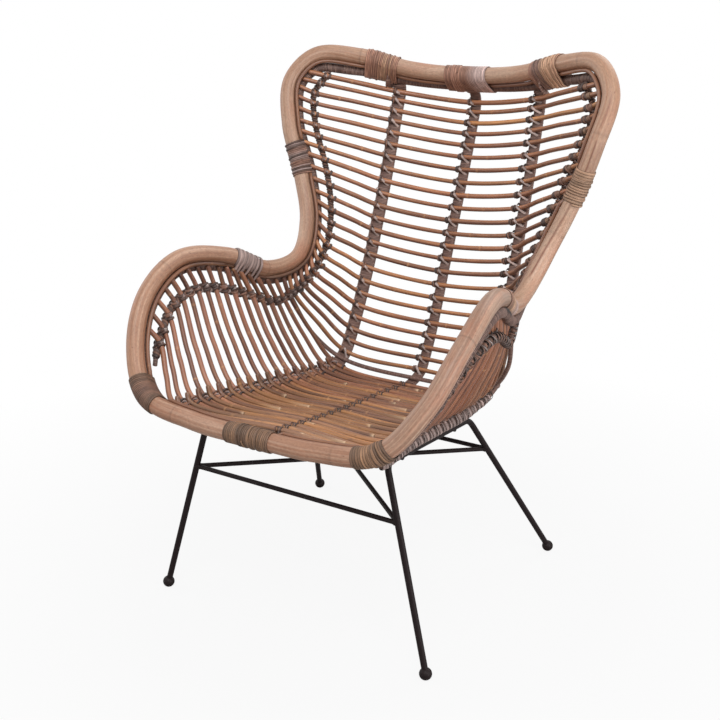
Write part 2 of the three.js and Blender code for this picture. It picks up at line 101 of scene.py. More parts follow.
# Welded base
LEG_RADIUS = 0.006
BRACE_RADIUS = 0.0045
BALL_RADIUS = 0.01175
BALL_FLAT_RADIUS = 0.005
BALL_HEIGHT = math.sqrt(BALL_RADIUS**2 - BALL_FLAT_RADIUS**2)
BEND_LENGTH = 0.018
TRACK = 0.6
WHEELBASE = 0.553
FRONT_TOP = (0.1989, 0.0301, 0.38207)
REAR_BEND = (0.1941, 0.3572, 0.35107)
BRACE_HEIGHT = 0.278
CROSS_ROD_PLACES = (0.18, 0.82)
CROSS_ROD_DROP = 0.005

# The rim on the right, from the top centre over the wing and the arm to the front centre:
# shares of half width, depth and height, then the direction in which the shell goes inwards
RIM_SHARES = [
    (0, 1, 0.963, 0, 0.5, -0.86),
    (0.354, 0.976, 0.972, 0.21, 0.37, -0.9),
    (0.652, 0.933, 0.9975, 0.14, 0, -0.99),
    (0.883, 0.876, 1, -0.43, -0.12, -0.9),
    (1, 0.827, 0.949, -0.87, 0.35, -0.35),
    (0.966, 0.791, 0.861, -0.76, 0.64, 0.07),
    (0.872, 0.782, 0.757, -0.79, 0.59, 0.16),
    (0.776, 0.745, 0.661, -0.74, 0.66, -0.13),
    (0.735, 0.671, 0.595, -0.65, 0.35, -0.67),
    (0.768, 0.55, 0.586, -0.14, -0.2, -0.97),
    (0.834, 0.42, 0.63, -0.07, -0.27, -0.96),
    (0.91, 0.275, 0.643, -0.25, 0.14, -0.96),
    (0.914, 0.154, 0.594, -0.41, 0.61, -0.67),
    (0.844, 0.071, 0.513, -0.39, 0.84, -0.37),
    (0.68, 0.018, 0.441, -0.24, 0.97, -0.08),
    (0.358, 0.006, 0.421, -0.05, 1, -0.05),
    (0, 0, 0.421, 0, 1, -0.03),
]

# Where the canes cross the rails on the right: the cane's number, the place of its end along half
# the rim, then shares on the side stringer, on the spine and seat rail, and in the middle plane
CROSSING_SHARES = [
    (0, 0.21, 0.8, 0.874, 0.966, 0.448, 0.983, 0.9365, 0, 1.0263, 0.927),
    (1, 0.221, 0.809, 0.872, 0.957, 0.447, 0.988, 0.923, 0, 1.041, 0.905),
    (3, 0.25, 0.868, 0.85, 0.922, 0.451, 0.975, 0.884, 0, 1.025, 0.863),
    (6, 0.297, 0.838, 0.836, 0.855, 0.454, 0.949, 0.814, 0, 0.993, 0.794),
    (9, 0.342, 0.766, 0.828, 0.784, 0.456, 0.917, 0.738, 0, 0.954, 0.717),
    (12, 0.389, 0.697, 0.811, 0.705, 0.461, 0.881, 0.66, 0, 0.913, 0.64),
    (15, 0.428, 0.654, 0.774, 0.631, 0.466, 0.847, 0.585, 0, 0.873, 0.563),
    (18, 0.461, 0.643, 0.714, 0.576, 0.475, 0.808, 0.503, 0, 0.833, 0.484),
    (20, 0.481, 0.658, 0.67, 0.55, 0.483, 0.784, 0.453, 0, 0.805, 0.434),
    (22, 0.499, 0.677, 0.634, 0.534, 0.492, 0.757, 0.404, 0, 0.773, 0.389),
    (23, 0.507, 0.688, 0.616, 0.527, 0.494, 0.738, 0.382, 0, 0.753, 0.369),
    (24, 0.515, 0.697, 0.602, 0.522, 0.491, 0.684, 0.366, 0, 0.668, 0.355),
    (26, 0.538, 0.722, 0.561, 0.517, 0.498, 0.6, 0.367, 0, 0.583, 0.36),
    (29, 0.579, 0.774, 0.48, 0.544, 0.518, 0.502, 0.375, 0, 0.477, 0.368),
    (32, 0.615, 0.822, 0.395, 0.57, 0.529, 0.387, 0.385, 0, 0.385, 0.374),
    (35, 0.664, 0.86, 0.311, 0.58, 0.551, 0.279, 0.395, 0, 0.284, 0.383),
    (38, 0.711, 0.857, 0.226, 0.564, 0.585, 0.178, 0.404, 0, 0.195, 0.393),
    (41, 0.771, 0.804, 0.137, 0.507, 0.621, 0.082, 0.412, 0, 0.106, 0.405),
    (42, 0.79, 0.766, 0.101, 0.479, 0.638, 0.046, 0.42, 0, 0.0537, 0.4125),
]
LAST_BACK_CANE = 23
LAST_SEAT_CANE = 41
LAST_ROW = 42
HIP_CANE = 23.5
SEAT_JOINT_CANE = 23.6
RAIL_END_CANE = 41.5
BELLY_START_CANE = 12
CHUNKY_CANES = (15, 23)  # between these the lashings of the side stringers grow thick
SLIM_CANES = (32, 39)  # between these the seat rails grow slim
TOP_CANE_SHADES = {1: 1.1, 2: 0.95, 3: 1.0}
GOLDEN_BACK_CANE = 3
GOLDEN_SEAT_CANES = (27, 30, 33, 35, 38)
FILLER_REACH = 0.12
FILLER_DROP = 0.00225
WALL_BELLY = 0.06

# Places on the rim as shares of half its length, and the joint in the skin of the right wing
TOP = 0.113
WING = 0.347
ARM_JOINT = 0.571
CORNER = 0.855
SKIN_JOINT = 0.287

# Where the moulding dips under a binding: the place and the length
DIPS = [(0, 0.106), (1, 0.09), (TOP, 0.078), (WING, 0.074), (ARM_JOINT, 0.12), (CORNER, 0.076)]
# What a strip goes round beside the pole: lengths to the front and inwards, and the radius
LINER_AT_TOP = (-LINER_SETBACK, LINER_TOP_INSET, LINER_RADIUS)
LINER_AT_SIDE = (-LINER_SETBACK, LINER_SIDE_INSET, LINER_RADIUS)
MOULDING_UNDER_STRIP = (0.004, MOULDING_INSET, MOULDING_RADIUS)

# Long splits in the skin of the pole: the shares where each starts and ends, its angle from the
# front, its width as an angle and its strength
SKIN_SPLITS = [
    (0.243, 0.285, -0.785, 0.1, 0.5),
    (0.289, 0.353, -0.982, 0.1, 1.0),
    (0.289, 0.353, -1.7, 0.6, 0.35),
    (0.353, 0.47, -0.785, 0.1, 0.8),
    (-0.45, -0.37, 0.196, 0.1, 0.5),
    (-0.27, -0.235, 0.39, 0.1, 0.4),
    (0.655, 0.72, -1.37, 0.45, 0.2),
    (0.69, 0.8, -1.767, 0.1, 0.35),
    (1.27, 1.4, -0.196, 0.1, 0.4),
]


def srgb(red, green, blue):
    """A colour named as on a screen, from 0 to 255, as the linear values that shaders take."""
    shares = np.array([red, green, blue]) / 255
    return np.where(shares <= 0.04045, shares / 12.92, ((shares + 0.055) / 1.055) ** 2.4)


POLE_TAN = srgb(186, 141, 113)
POLE_PALE = srgb(212, 180, 158)
POLE_BROWN = srgb(142, 98, 74)
POLE_RED = srgb(172, 106, 76)
POLE_SPECK = srgb(112, 66, 48)
POLE_SPLIT = srgb(118, 46, 20)
WRAP_BROWN = srgb(120, 86, 75)
WRAP_PALE = srgb(154, 124, 112)
WRAP_DEEP = srgb(62, 42, 37)
MOULDING_BROWN = srgb(120, 80, 60)
CANE_RED = srgb(156, 100, 74)
CANE_GOLD = srgb(192, 134, 84)
CANE_PLUM = srgb(106, 72, 64)
CANE_TAN = srgb(188, 144, 113)
CANE_OLIVE = srgb(154, 112, 78)
CANE_RING = srgb(204, 152, 104)
CUT_END = srgb(226, 196, 160)
STRAP_GREY = srgb(172, 154, 148)
STRAP_DARK = srgb(82, 64, 58)
BIND_BROWN = srgb(132, 96, 80)
BIND_GREY = srgb(160, 138, 132)
BIND_TAN = srgb(160, 126, 102)
BIND_GOLD = srgb(164, 124, 94)
BIND_OLIVE = srgb(122, 92, 72)
BIND_DARK = srgb(88, 66, 58)
METAL_BLACK = srgb(25, 14, 15)

# How much darker each stretch of the pole is, as shares of red, green and blue. On the right arm the
# darkening is painted shade
WING_SHADE = np.array([0.82, 0.87, 0.88])
LEFT_ARM_SHADE = np.array([0.78, 0.74, 0.7])
RIGHT_ARM_SHADE = np.array([0.57, 0.63, 0.68])
FRONT_SHADE = np.array([0.66, 0.57, 0.51])
ARM_CANE_SHADE = np.array([1.04, 0.86, 0.91])


# ---- curves and places


class Guide:
    """A smooth curve through knots, read by the number of the knot."""

    def __init__(self, knots, closed=False):
        self.knots = np.asarray(knots, float)
        self.closed = closed
        self.spans = len(self.knots) if closed else len(self.knots) - 1

    def knot(self, index):
        count = len(self.knots)
        if self.closed:
            return self.knots[index % count]
        inside = self.knots[np.clip(index, 0, count - 1)]
        before = 2 * self.knots[0] - self.knots[1]
        after = 2 * self.knots[-1] - self.knots[-2]
        inside = np.where((index < 0)[:, None], before, inside)
        return np.where((index > count - 1)[:, None], after, inside)

    def at(self, number):
        number = np.atleast_1d(np.asarray(number, float))
        if not self.closed:
            number = np.clip(number, 0, self.spans)
        span = np.floor(number).astype(int)
        if not self.closed:
            span = np.minimum(span, self.spans - 1)
        part = (number - span)[:, None]
        a, b, c, d = (self.knot(span + k) for k in (-1, 0, 1, 2))
        first, middle, last = (
            np.sqrt(np.maximum(np.linalg.norm(q - p, axis=1), 1e-9))[:, None]
            for p, q in ((a, b), (b, c), (c, d))
        )
        leave = ((b - a) / first - (c - a) / (first + middle) + (c - b) / middle) * middle
        arrive = ((c - b) / middle - (d - b) / (middle + last) + (d - c) / last) * middle
        bend = -3 * b + 3 * c - 2 * leave - arrive
        twist = 2 * b - 2 * c + leave + arrive
        return b + part * (leave + part * (bend + part * twist))


def unit(vectors):
    """Vectors at length 1."""
    return vectors / np.linalg.norm(vectors, axis=-1, keepdims=True)


def mirror(points):
    """Points on the right, on the left."""
    return points * np.array([-1, 1, 1])


def square_to(vectors, along):
    """The vectors without their share along a direction, at length 1."""
    return unit(vectors - along * np.sum(vectors * along, axis=-1, keepdims=True))


def smooth_step(value, low, high):
    """0 below the low value, 1 over the high one, and a soft rise between."""
    part = np.clip((value - low) / (high - low), 0, 1)
    return part * part * (3 - 2 * part)


def lengths_along(points):
    """How far along a path each of its points is."""
    return np.concatenate([[0], np.cumsum(np.linalg.norm(np.diff(points, axis=0), axis=1))])


def near(value, middle, reach):
    """1 at a place, falling to 0 beside it."""
    return np.exp(-(((value - middle) / reach) ** 2))


base_low, base_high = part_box("base_frame")
FRONT_LINE = (base_low.y + base_high.y) / 2 - WHEELBASE / 2


def shell_points(shares):
    """Places given as shares of the shell's half width, depth and height."""
    shares = np.asarray(shares, float)
    size = np.array([SHELL_HALF_WIDTH, SHELL_DEPTH, SHELL_HEIGHT])
    return shares * size + np.array([0, FRONT_LINE - FRONT_OVERHANG, 0])


def full_loop(half):
    """The right half of a closed row, and its left half after it."""
    return np.concatenate([half, mirror(half[-2:0:-1])])


rim_rows = np.array(RIM_SHARES, float)
rim_curve = Guide(full_loop(shell_points(rim_rows[:, :3])), closed=True)
inward_curve = Guide(full_loop(rim_rows[:, 3:]), closed=True)
rim_numbers = np.linspace(0, len(RIM_SHARES) - 1, 3000)
rim_lengths = lengths_along(rim_curve.at(rim_numbers))
RIM_HALF_LENGTH = rim_lengths[-1]


def rim(share):
    """The pole's middle, the way inwards and the way to the front, at places along the rim.
    0 is the top centre, 1 the front centre on the right and -1 on the left."""
    share = np.atleast_1d(np.asarray(share, float))
    share = np.where(share > 1, share - 2, share)
    number = np.interp(np.abs(share) * RIM_HALF_LENGTH, rim_lengths, rim_numbers)
    step = 0.01
    along = unit(rim_curve.at(number + step) - rim_curve.at(number - step))
    at = rim_curve.at(number)
    inward = square_to(inward_curve.at(number), along)
    front = np.cross(inward, along)
    left = (share < 0)[:, None]
    return tuple(np.where(left, mirror(v), v) for v in (at, inward, front))


def rim_shares_between(start, end, step):
    """Places along the rim, a step apart."""
    count = max(int((end - start) * RIM_HALF_LENGTH / step), 4)
    return np.linspace(start, end, count + 1)


def rim_points(share, inset, rise):
    """Points beside the pole's middle, by lengths inwards and to the front."""
    at, inward, front = rim(share)
    return at + inward * np.reshape(inset, (-1, 1)) + front * np.reshape(rise, (-1, 1))


crossing_rows = np.array(CROSSING_SHARES, float)


def row_of(cane):
    """A cane's place among the rows of the table, as a number with a fraction."""
    return np.interp(cane, crossing_rows[:, 0], np.arange(len(crossing_rows)))


def crossing_guide(column):
    """Where canes cross the rail that is held from this column of the table."""
    curve = Guide(shell_points(crossing_rows[:, column : column + 3]))
    return lambda cane: curve.at(row_of(np.atleast_1d(cane)))


arm_crossing = crossing_guide(2)
spine_crossing = crossing_guide(5)
middle_crossing = crossing_guide(8)


def cane_ends(cane):
    """Cut ends of canes on the right, on the liner."""
    cane = np.atleast_1d(cane)
    share = np.interp(cane, crossing_rows[:, 0], crossing_rows[:, 1])
    return rim_points(share, np.full(len(cane), CANE_END_INSET), np.full(len(cane), CANE_END_RISE))


def wall_points(cane):
    """Places half way up the right wall, where low canes belly outwards."""
    chord = spine_crossing(cane) - arm_crossing(cane)
    along = arm_crossing(np.minimum(cane + 1, LAST_ROW)) - arm_crossing(cane - 1)
    belly = WALL_BELLY * smooth_step(cane, BELLY_START_CANE, LAST_BACK_CANE)
    outward = unit(np.cross(along, chord)) * (belly * np.linalg.norm(chord, axis=1))[:, None]
    return arm_crossing(cane) + chord / 2 + outward


def rail(crossing, cane):
    """A rail's cane level, the way across it and the way to the sitter."""
    cane = np.atleast_1d(np.asarray(cane, float))
    spread = 0.05
    before, after = np.maximum(cane - spread, 0), np.minimum(cane + spread, LAST_ROW)
    along = unit(crossing(after) - crossing(before))
    if crossing is middle_crossing:
        across = np.tile([1.0, 0, 0], (len(cane), 1))
    elif crossing is spine_crossing:
        across = arm_crossing(cane) - middle_crossing(cane)
    else:
        across = cane_ends(cane) - spine_crossing(cane)
    across = square_to(across, along)
    return crossing(cane), across, np.cross(along, across)


def evenly(points, extras, step):
    """Points and what goes with them, taken again at an even step along their curve."""
    lengths = lengths_along(points)
    count = max(int(lengths[-1] / step), 2)
    wanted = np.linspace(0, lengths[-1], count + 1)
    again = []
    for values in (points, *extras):
        values = np.asarray(values, float)
        table = values.reshape(len(values), -1)
        columns = [np.interp(wanted, lengths, table[:, k]) for k in range(table.shape[1])]
        made = np.stack(columns, axis=1)
        again.append(made if values.ndim > 1 else made[:, 0])
    return again


def points_along(curve, count, step):
    """Points at an even step along a curve, taken from so many points of it."""
    return evenly(curve.at(np.linspace(0, curve.spans, count)), (), step)[0]


def turned_least(points, first):
    """Directions across a rod that turn as little as possible from one point to the next."""
    along = unit(np.gradient(points, axis=0))
    across = np.zeros_like(points)
    current = np.asarray(first, float)
    for i, direction in enumerate(along):
        current = current - direction * current.dot(direction)
        current = current / np.linalg.norm(current)
        across[i] = current
    return across, np.cross(along, across)


# ---- meshes


class Piece:
    """A mesh of one or more strands, with what the finishes read at each point: its place in the
    straightened strand, its tint, and how dark the place is, such as a groove or a cane's joint."""

    def __init__(self, name):
        self.name = name
        self.points, self.faces, self.grain, self.tint, self.dark = [], [], [], [], []
        self.count = 0

    def add(self, rings, outline, lengths, tint, dark, closed):
        stations, sides = rings.shape[:2]
        first = self.count
        index = first + np.arange(stations * sides).reshape(stations, sides)
        if closed:
            index = np.concatenate([index, index[:1]])
        turned = np.roll(index, -1, axis=1)
        quads = np.stack([index[:-1], turned[:-1], turned[1:], index[1:]], axis=-1)
        self.faces.extend(quads.reshape(-1, 4).tolist())
        if not closed:
            self.faces.append(index[0, ::-1].tolist())
            self.faces.append(index[-1].tolist())
        start = chance.uniform(0, 50)
        along = np.repeat(lengths[:, None], sides, axis=1) + start
        place = np.concatenate([outline, along[..., None]], axis=-1)
        self.points.append(rings.reshape(-1, 3))
        self.grain.append(place.reshape(-1, 3))
        tint = np.asarray(tint, float)
        if tint.ndim < 3:
            tint = np.broadcast_to(tint, (stations, 3))[:, None]
        self.tint.append(np.broadcast_to(tint, (stations, sides, 3)).reshape(-1, 3))
        dark = np.asarray(dark, float)
        if dark.ndim < 2:
            dark = np.broadcast_to(dark, stations)[:, None]
        self.dark.append(np.broadcast_to(dark, (stations, sides)).ravel())
        self.count += stations * sides

    def sweep(self, at, across, out, outline, tint, dark=0.0, swell=1.0, closed=False):
        """Adds a strand: an outline, in metres, carried along places."""
        outline = np.broadcast_to(outline, (len(at), *np.shape(outline)[-2:]))
        outline = outline * np.broadcast_to(swell, len(at))[:, None, None]
        rings = (
            at[:, None]
            + across[:, None] * outline[..., :1]
            + out[:, None] * outline[..., 1:]
        )
        self.add(rings, outline, lengths_along(at), tint, dark, closed)

    def finish(self, material, slot, *nodes):
        """Makes the object, which takes the place of the solids named as nodes."""
        mesh = bpy.data.meshes.new(self.name)
        mesh.from_pydata(np.concatenate(self.points).tolist(), [], self.faces)
        mesh.polygons.foreach_set("use_smooth", [len(face) == 4 for face in self.faces])
        for key, kind, values in (
            ("grain", "FLOAT_VECTOR", np.concatenate(self.grain)),
            ("dark", "FLOAT", np.concatenate(self.dark)),
        ):
            field = "vector" if kind == "FLOAT_VECTOR" else "value"
            data = mesh.attributes.new(key, kind, "POINT").data
            data.foreach_set(field, np.ascontiguousarray(values, np.float32).ravel())
        tint = np.concatenate(self.tint)
        tint = np.concatenate([tint, np.ones((len(tint), 1))], axis=1)
        data = mesh.attributes.new("tint", "FLOAT_COLOR", "POINT").data
        data.foreach_set("color", tint.astype(np.float32).ravel())
        mesh.materials.append(material)
        mesh.update()
        made = bpy.data.objects.new(self.name, mesh)
        bpy.context.scene.collection.objects.link(made)
        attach(made, "root")
        if nodes:
            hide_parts(*nodes)
        return made


def ring_outline(radius, sides):
    """A round outline. Its first point is across, its second quarter out."""
    angle = 2 * np.pi * np.arange(sides) / sides
    return radius * np.stack([np.cos(angle), np.sin(angle)], axis=1)


def flat_outline(width, thickness, sides=16):
    """Two rods side by side under one wrapping: a flat outline with round edges."""
    angle = 2 * np.pi * (np.arange(sides) + 0.5) / sides
    squareness = 0.62
    x, y = (np.sign(v) * np.abs(v) ** squareness for v in (np.cos(angle), np.sin(angle)))
    width, thickness = np.reshape(width, (-1, 1)), np.reshape(thickness, (-1, 1))
    return np.stack([x * width / 2, y * thickness / 2], axis=-1)


def strip_outline(width, thickness):
    """A flat strip of cane, crowned on its outer face."""
    shares = [(-0.5, 0), (-0.42, 0.6), (-0.2, 0.94), (0, 1), (0.2, 0.94), (0.42, 0.6), (0.5, 0)]
    return np.array([(0, -0.1), *shares[::-1]]) * np.array([width, thickness])


# How much painted shade darkens a strip at each point of its outline: its back, then from edge to
# edge
STRIP_EDGE_SHADE = np.array([[0.8, 1, 0.6, 0.1, 0, 0.1, 0.6, 1]])
JOINT_REACH = 0.0016


def joints_along(lengths, least, most):
    """Where a cane has its joints: 1 in the middle of each, falling to 0 beside it."""
    strength = np.zeros(len(lengths))
    place = chance.uniform(0, most)
    while place < lengths[-1]:
        strength = np.maximum(strength, near(lengths, place, JOINT_REACH))
        place += chance.uniform(least, most)
    return strength


def rounded_ends(lengths, radius):
    """Shares of the full size that round off the cut ends of a rod."""
    from_end = np.minimum(lengths, lengths[-1] - lengths)
    return np.clip(0.82 + 0.18 * from_end / (0.4 * radius), 0, 1)


# ---- shader maths


class Value:
    """A node's output, on which plain sums add Math nodes."""

    def __init__(self, finish, socket):
        self.finish, self.socket = finish, socket

    def sum(self, operation, *values):
        made = self.finish.node("ShaderNodeMath", {"operation": operation}, dict(enumerate(values)))
        return made.out("Value")

    def __add__(self, other):
        return self.sum("ADD", self, other)

    __radd__ = __add__

    def __sub__(self, other):
        return self.sum("SUBTRACT", self, other)

    def __rsub__(self, other):
        return self.sum("SUBTRACT", other, self)

    def __mul__(self, other):
        return self.sum("MULTIPLY", self, other)

    __rmul__ = __mul__

    def __truediv__(self, other):
        return self.sum("DIVIDE", self, other)

    def clamp(self, low=0.0, high=1.0):
        return self.sum("MINIMUM", self.sum("MAXIMUM", self, low), high)


class Node:
    """A node, whose outputs are read by name or number."""

    def __init__(self, finish, made):
        self.finish, self.made = finish, made

    def out(self, name):
        return Value(self.finish, self.made.outputs[name])


class Finish:
    """The nodes of a material or of the world."""

    def __init__(self, owner):
        owner.use_nodes = True
        self.owner, self.tree = owner, owner.node_tree
        self.tree.nodes.clear()

    def node(self, kind, settings=None, values=None):
        """A node of a kind, with its settings, then its sockets' values or links."""
        made = self.tree.nodes.new(kind)
        for key, setting in (settings or {}).items():
            setattr(made, key, setting)
        for key, value in (values or {}).items():
            if isinstance(value, Value):
                self.tree.links.new(value.socket, made.inputs[key])
            else:
                made.inputs[key].default_value = value
        return Node(self, made)

    def attribute(self, name, output="Fac"):
        return self.node("ShaderNodeAttribute", {"attribute_name": name}).out(output)

    def tint(self):
        return self.attribute("tint", "Color")

    def grain(self, across, along, detail=3.0):
        """Noise on the straightened strand, with its own fineness across and along it."""
        place = self.node(
            "ShaderNodeVectorMath",
            {"operation": "MULTIPLY"},
            {0: self.attribute("grain", "Vector"), 1: (across, across, along)},
        )
        values = {"Vector": place.out("Vector"), "Scale": 1.0, "Detail": detail, "Roughness": 0.55}
        return self.node("ShaderNodeTexNoise", {}, values).out("Fac")

    def scaled(self, colour, factor):
        """A colour made darker or lighter."""
        values = {"Vector": colour, "Scale": factor}
        return self.node("ShaderNodeVectorMath", {"operation": "SCALE"}, values).out("Vector")

    def mixed(self, factor, one, other):
        """One colour turned by a factor into the other, which is the same all over."""
        values = {0: factor, 6: one, 7: (*[float(x) for x in other], 1.0)}
        return self.node("ShaderNodeMix", {"data_type": "RGBA"}, values).out(2)

    def blended(self, factor, one, other):
        """One shader turned by a factor into another."""
        return self.node("ShaderNodeMixShader", {}, {0: factor, 1: one, 2: other}).out("Shader")

    def bump(self, height, strength, distance):
        values = {"Height": height, "Strength": strength, "Distance": distance}
        return self.node("ShaderNodeBump", {}, values).out("Normal")

    def painted(self, colour, roughness, normal, constants=None):
        """Ends a material in its surface."""
        values = {"Base Color": colour, "Roughness": roughness, "Normal": normal}
        shader = self.node("ShaderNodeBsdfPrincipled", {}, {**values, **(constants or {})})
        return self.ended(shader.out("BSDF"), "ShaderNodeOutputMaterial")

    def ended(self, shader, output):
        """Ends the nodes in an output."""
        self.node(output, {}, {"Surface": shader})
        return self.owner


def between(noise, low, high):
    """Noise stretched so that its usual values run from low to high."""
    usual_low, usual_span = 0.32, 0.36
    stretched = low + (noise - usual_low) * ((high - low) / usual_span)
    return stretched.clamp(min(low, high), max(low, high))


def share_between(noise, low, high):
    """The same, kept between 0 and 1."""
    return between(noise, low, high).clamp()


def spots(noise, level, sharpness, strength):
    """Spots where noise rises over a level, up to a strength."""
    return ((noise - level) * sharpness).clamp() * strength


def pole_finish():
    """Peeled pole: tan with soft patches, reddish streaks, dark specks and faint joints."""
    f = Finish(bpy.data.materials.new("peeled_pole"))
    fine = f.grain(420, 160)
    streak = f.grain(170, 3.0, 4.0)
    line = f.grain(330, 1.6, 2.0)
    patch = f.grain(38, 8, 3.0)
    blotch = f.grain(75, 38, 3.0)
    warm = f.grain(30, 9, 2.0)
    speck = f.grain(300, 130, 1.0)
    colour = f.mixed(share_between(patch, -0.1, 0.6), f.tint(), POLE_BROWN)
    colour = f.mixed(share_between(streak, -0.2, 0.42), colour, POLE_PALE)
    colour = f.mixed(spots(warm, 0.53, 5, 0.4), colour, POLE_RED)
    colour = f.mixed(spots(line, 0.58, 7, 0.35), colour, POLE_RED)
    colour = f.mixed(spots(blotch, 0.52, 5, 0.28), colour, POLE_BROWN)
    colour = f.mixed(spots(speck, 0.68, 12, 0.5), colour, POLE_SPECK)
    colour = f.scaled(colour, between(fine, 0.84, 1.14) * (1 - 0.3 * f.attribute("dark")))
    normal = f.bump(fine + streak, 0.35, 0.0004)
    lacquer = {"Coat Weight": 0.08, "Coat Roughness": 0.4}
    return f.painted(colour, between(fine, 0.45, 0.6), normal, lacquer)


def cane_finish():
    """Round cane in its own tint, with long fibres, a soft sheen and pale rings at its joints."""
    f = Finish(bpy.data.materials.new("round_cane"))
    fine = f.grain(1100, 16)
    fibre = f.grain(260, 5, 4.0)
    patch = f.grain(34, 13, 2.0)
    dirt = f.grain(160, 60, 2.0)
    colour = f.mixed(between(patch, 0, 0.4), f.tint(), CANE_PLUM)
    colour = f.mixed(share_between(fibre, -0.1, 0.28), colour, CANE_GOLD)
    colour = f.mixed(spots(dirt, 0.62, 8, 0.5), colour, CANE_PLUM * 0.6)
    colour = f.mixed((f.attribute("dark") * 0.55).clamp(), colour, CANE_RING)
    colour = f.scaled(colour, between(fine, 0.8, 1.18))
    normal = f.bump(fine + fibre, 0.35, 0.0003)
    lacquer = {"Coat Weight": 0.15, "Coat Roughness": 0.3}
    return f.painted(colour, between(fibre, 0.36, 0.52), normal, lacquer)


def wrapped_finish():
    """Rods wrapped in fine dark cane, with a painted highlight on the crowns of the turns and painted
    shade in the grooves and hollows.
    """
    f = Finish(bpy.data.materials.new("wrapped_rod"))
    turn = f.grain(30, 300, 1.0)
    patch = f.grain(60, 40, 3.0)
    fibre = f.grain(900, 900, 2.0)
    crown = (1 - f.attribute("dark")).clamp()
    colour = f.mixed(between(patch, 0, 0.6), f.tint(), WRAP_DEEP)
    # Painted highlight on the crowns of the turns and painted shade in the grooves and hollows, read
    # from the dark attribute.
    colour = f.mixed(share_between(turn, -0.2, 0.95) * crown, colour, WRAP_PALE)
    colour = f.scaled(colour, between(fibre, 0.82, 1.15) * (0.35 + 0.75 * crown))
    return f.painted(colour, between(turn, 0.5, 0.7), f.bump(fibre, 0.3, 0.0003))


def strip_finish():
    """Flat cane strip in its own tint, with fibres along it and painted shade at its edges and on its
    back.
    """
    f = Finish(bpy.data.materials.new("cane_strip"))
    fibre = f.grain(1700, 45)
    patch = f.grain(90, 45, 3.0)
    colour = f.scaled(f.tint(), between(patch, 0.7, 1.25))
    # Painted shade darkens the strip towards its edges and on its back.
    colour = f.scaled(colour, between(fibre, 0.84, 1.34) * (1 - 0.75 * f.attribute("dark")))
    return f.painted(colour, between(fibre, 0.5, 0.68), f.bump(fibre, 0.4, 0.0003))


def metal_finish():
    """Black satin paint on steel rod, a little uneven."""
    f = Finish(bpy.data.materials.new("black_paint"))
    grain = f.grain(260, 120, 3.0)
    colour = f.scaled(f.tint(), between(grain, 0.8, 1.15))
    satin = {"Specular IOR Level": 0.2}
    return f.painted(colour, between(grain, 0.48, 0.62), f.bump(grain, 0.12, 0.0002), satin)


pole_material = pole_finish()
cane_material = cane_finish()
wrapped_material = wrapped_finish()
strip_material = strip_finish()
metal_material = metal_finish()


# ---- the rim


def pole_shade(shares):
    """The wings are palest, each arm darker in its own way, the right arm with painted shade, and the
    front edge is browner.
    """
    if shares[-1] <= 1:
        return np.broadcast_to(WING_SHADE, (len(shares), 3))
    arms = np.where(shares[:, None] < 1, RIGHT_ARM_SHADE, LEFT_ARM_SHADE)
    front = smooth_step(1 - np.abs(1 - shares), CORNER - 0.03, CORNER + 0.03)[:, None]
    return arms + (FRONT_SHADE - arms) * front


def skin_splits(shares, outline):
    """How deep the long splits in the skin are at each point of the pole."""
    angle = np.arctan2(outline[:, 1], outline[:, 0])
    split = np.zeros((len(shares), len(outline)))
    fade = 0.012
    for start, end, middle, width, strength in SKIN_SPLITS:
        along = smooth_step(shares, start, start + fade)
        along = along * (1 - smooth_step(shares, end - fade, end))
        split = np.maximum(split, strength * along[:, None] * near(angle, middle, width))
    return split


def pole(name, start, end, node):
    """A thick bent pole with faint joints and splits, paler outside with painted light and browner by
    the liner with painted shade.
    """
    shares = rim_shares_between(start, end, POLE_STEP)
    at, inward, front = rim(shares)
    lengths = lengths_along(at)
    from_joint = (shares - SKIN_JOINT) * RIM_HALF_LENGTH
    joints = np.maximum(joints_along(lengths, 0.26, 0.42), near(from_joint, 0, JOINT_REACH))
    wave = 0.006 * np.sin(lengths * 23 + start) + 0.005 * np.sin(lengths * 61)
    outline = ring_outline(POLE_RADIUS, 32)
    # Painted light and shade: the side facing out is made paler and the side facing inwards browner.
    inside = (0.5 + 0.5 * outline[:, 1] / POLE_RADIUS)[None, :, None] ** 1.5
    shift = (0.5 + 0.5 * np.sin(lengths * 9 + 2 * start))[:, None, None]
    splits = skin_splits(shares, outline)
    tints = POLE_TAN + (POLE_PALE - POLE_TAN) * 0.5 * (1 - inside) * shift
    tints = tints + (POLE_BROWN - tints) * inside * (0.45 + 0.3 * shift)
    tints = tints + (POLE_SPLIT - tints) * splits[..., None]
    tints = tints * pole_shade(shares)[:, None]
    dark = np.maximum(joints[:, None], 0.7 * splits)
    piece = Piece(name)
    piece.sweep(at, front, inward, outline, tints, dark, 1 + wave + 0.02 * joints)
    return piece.finish(pole_material, "pole", node)


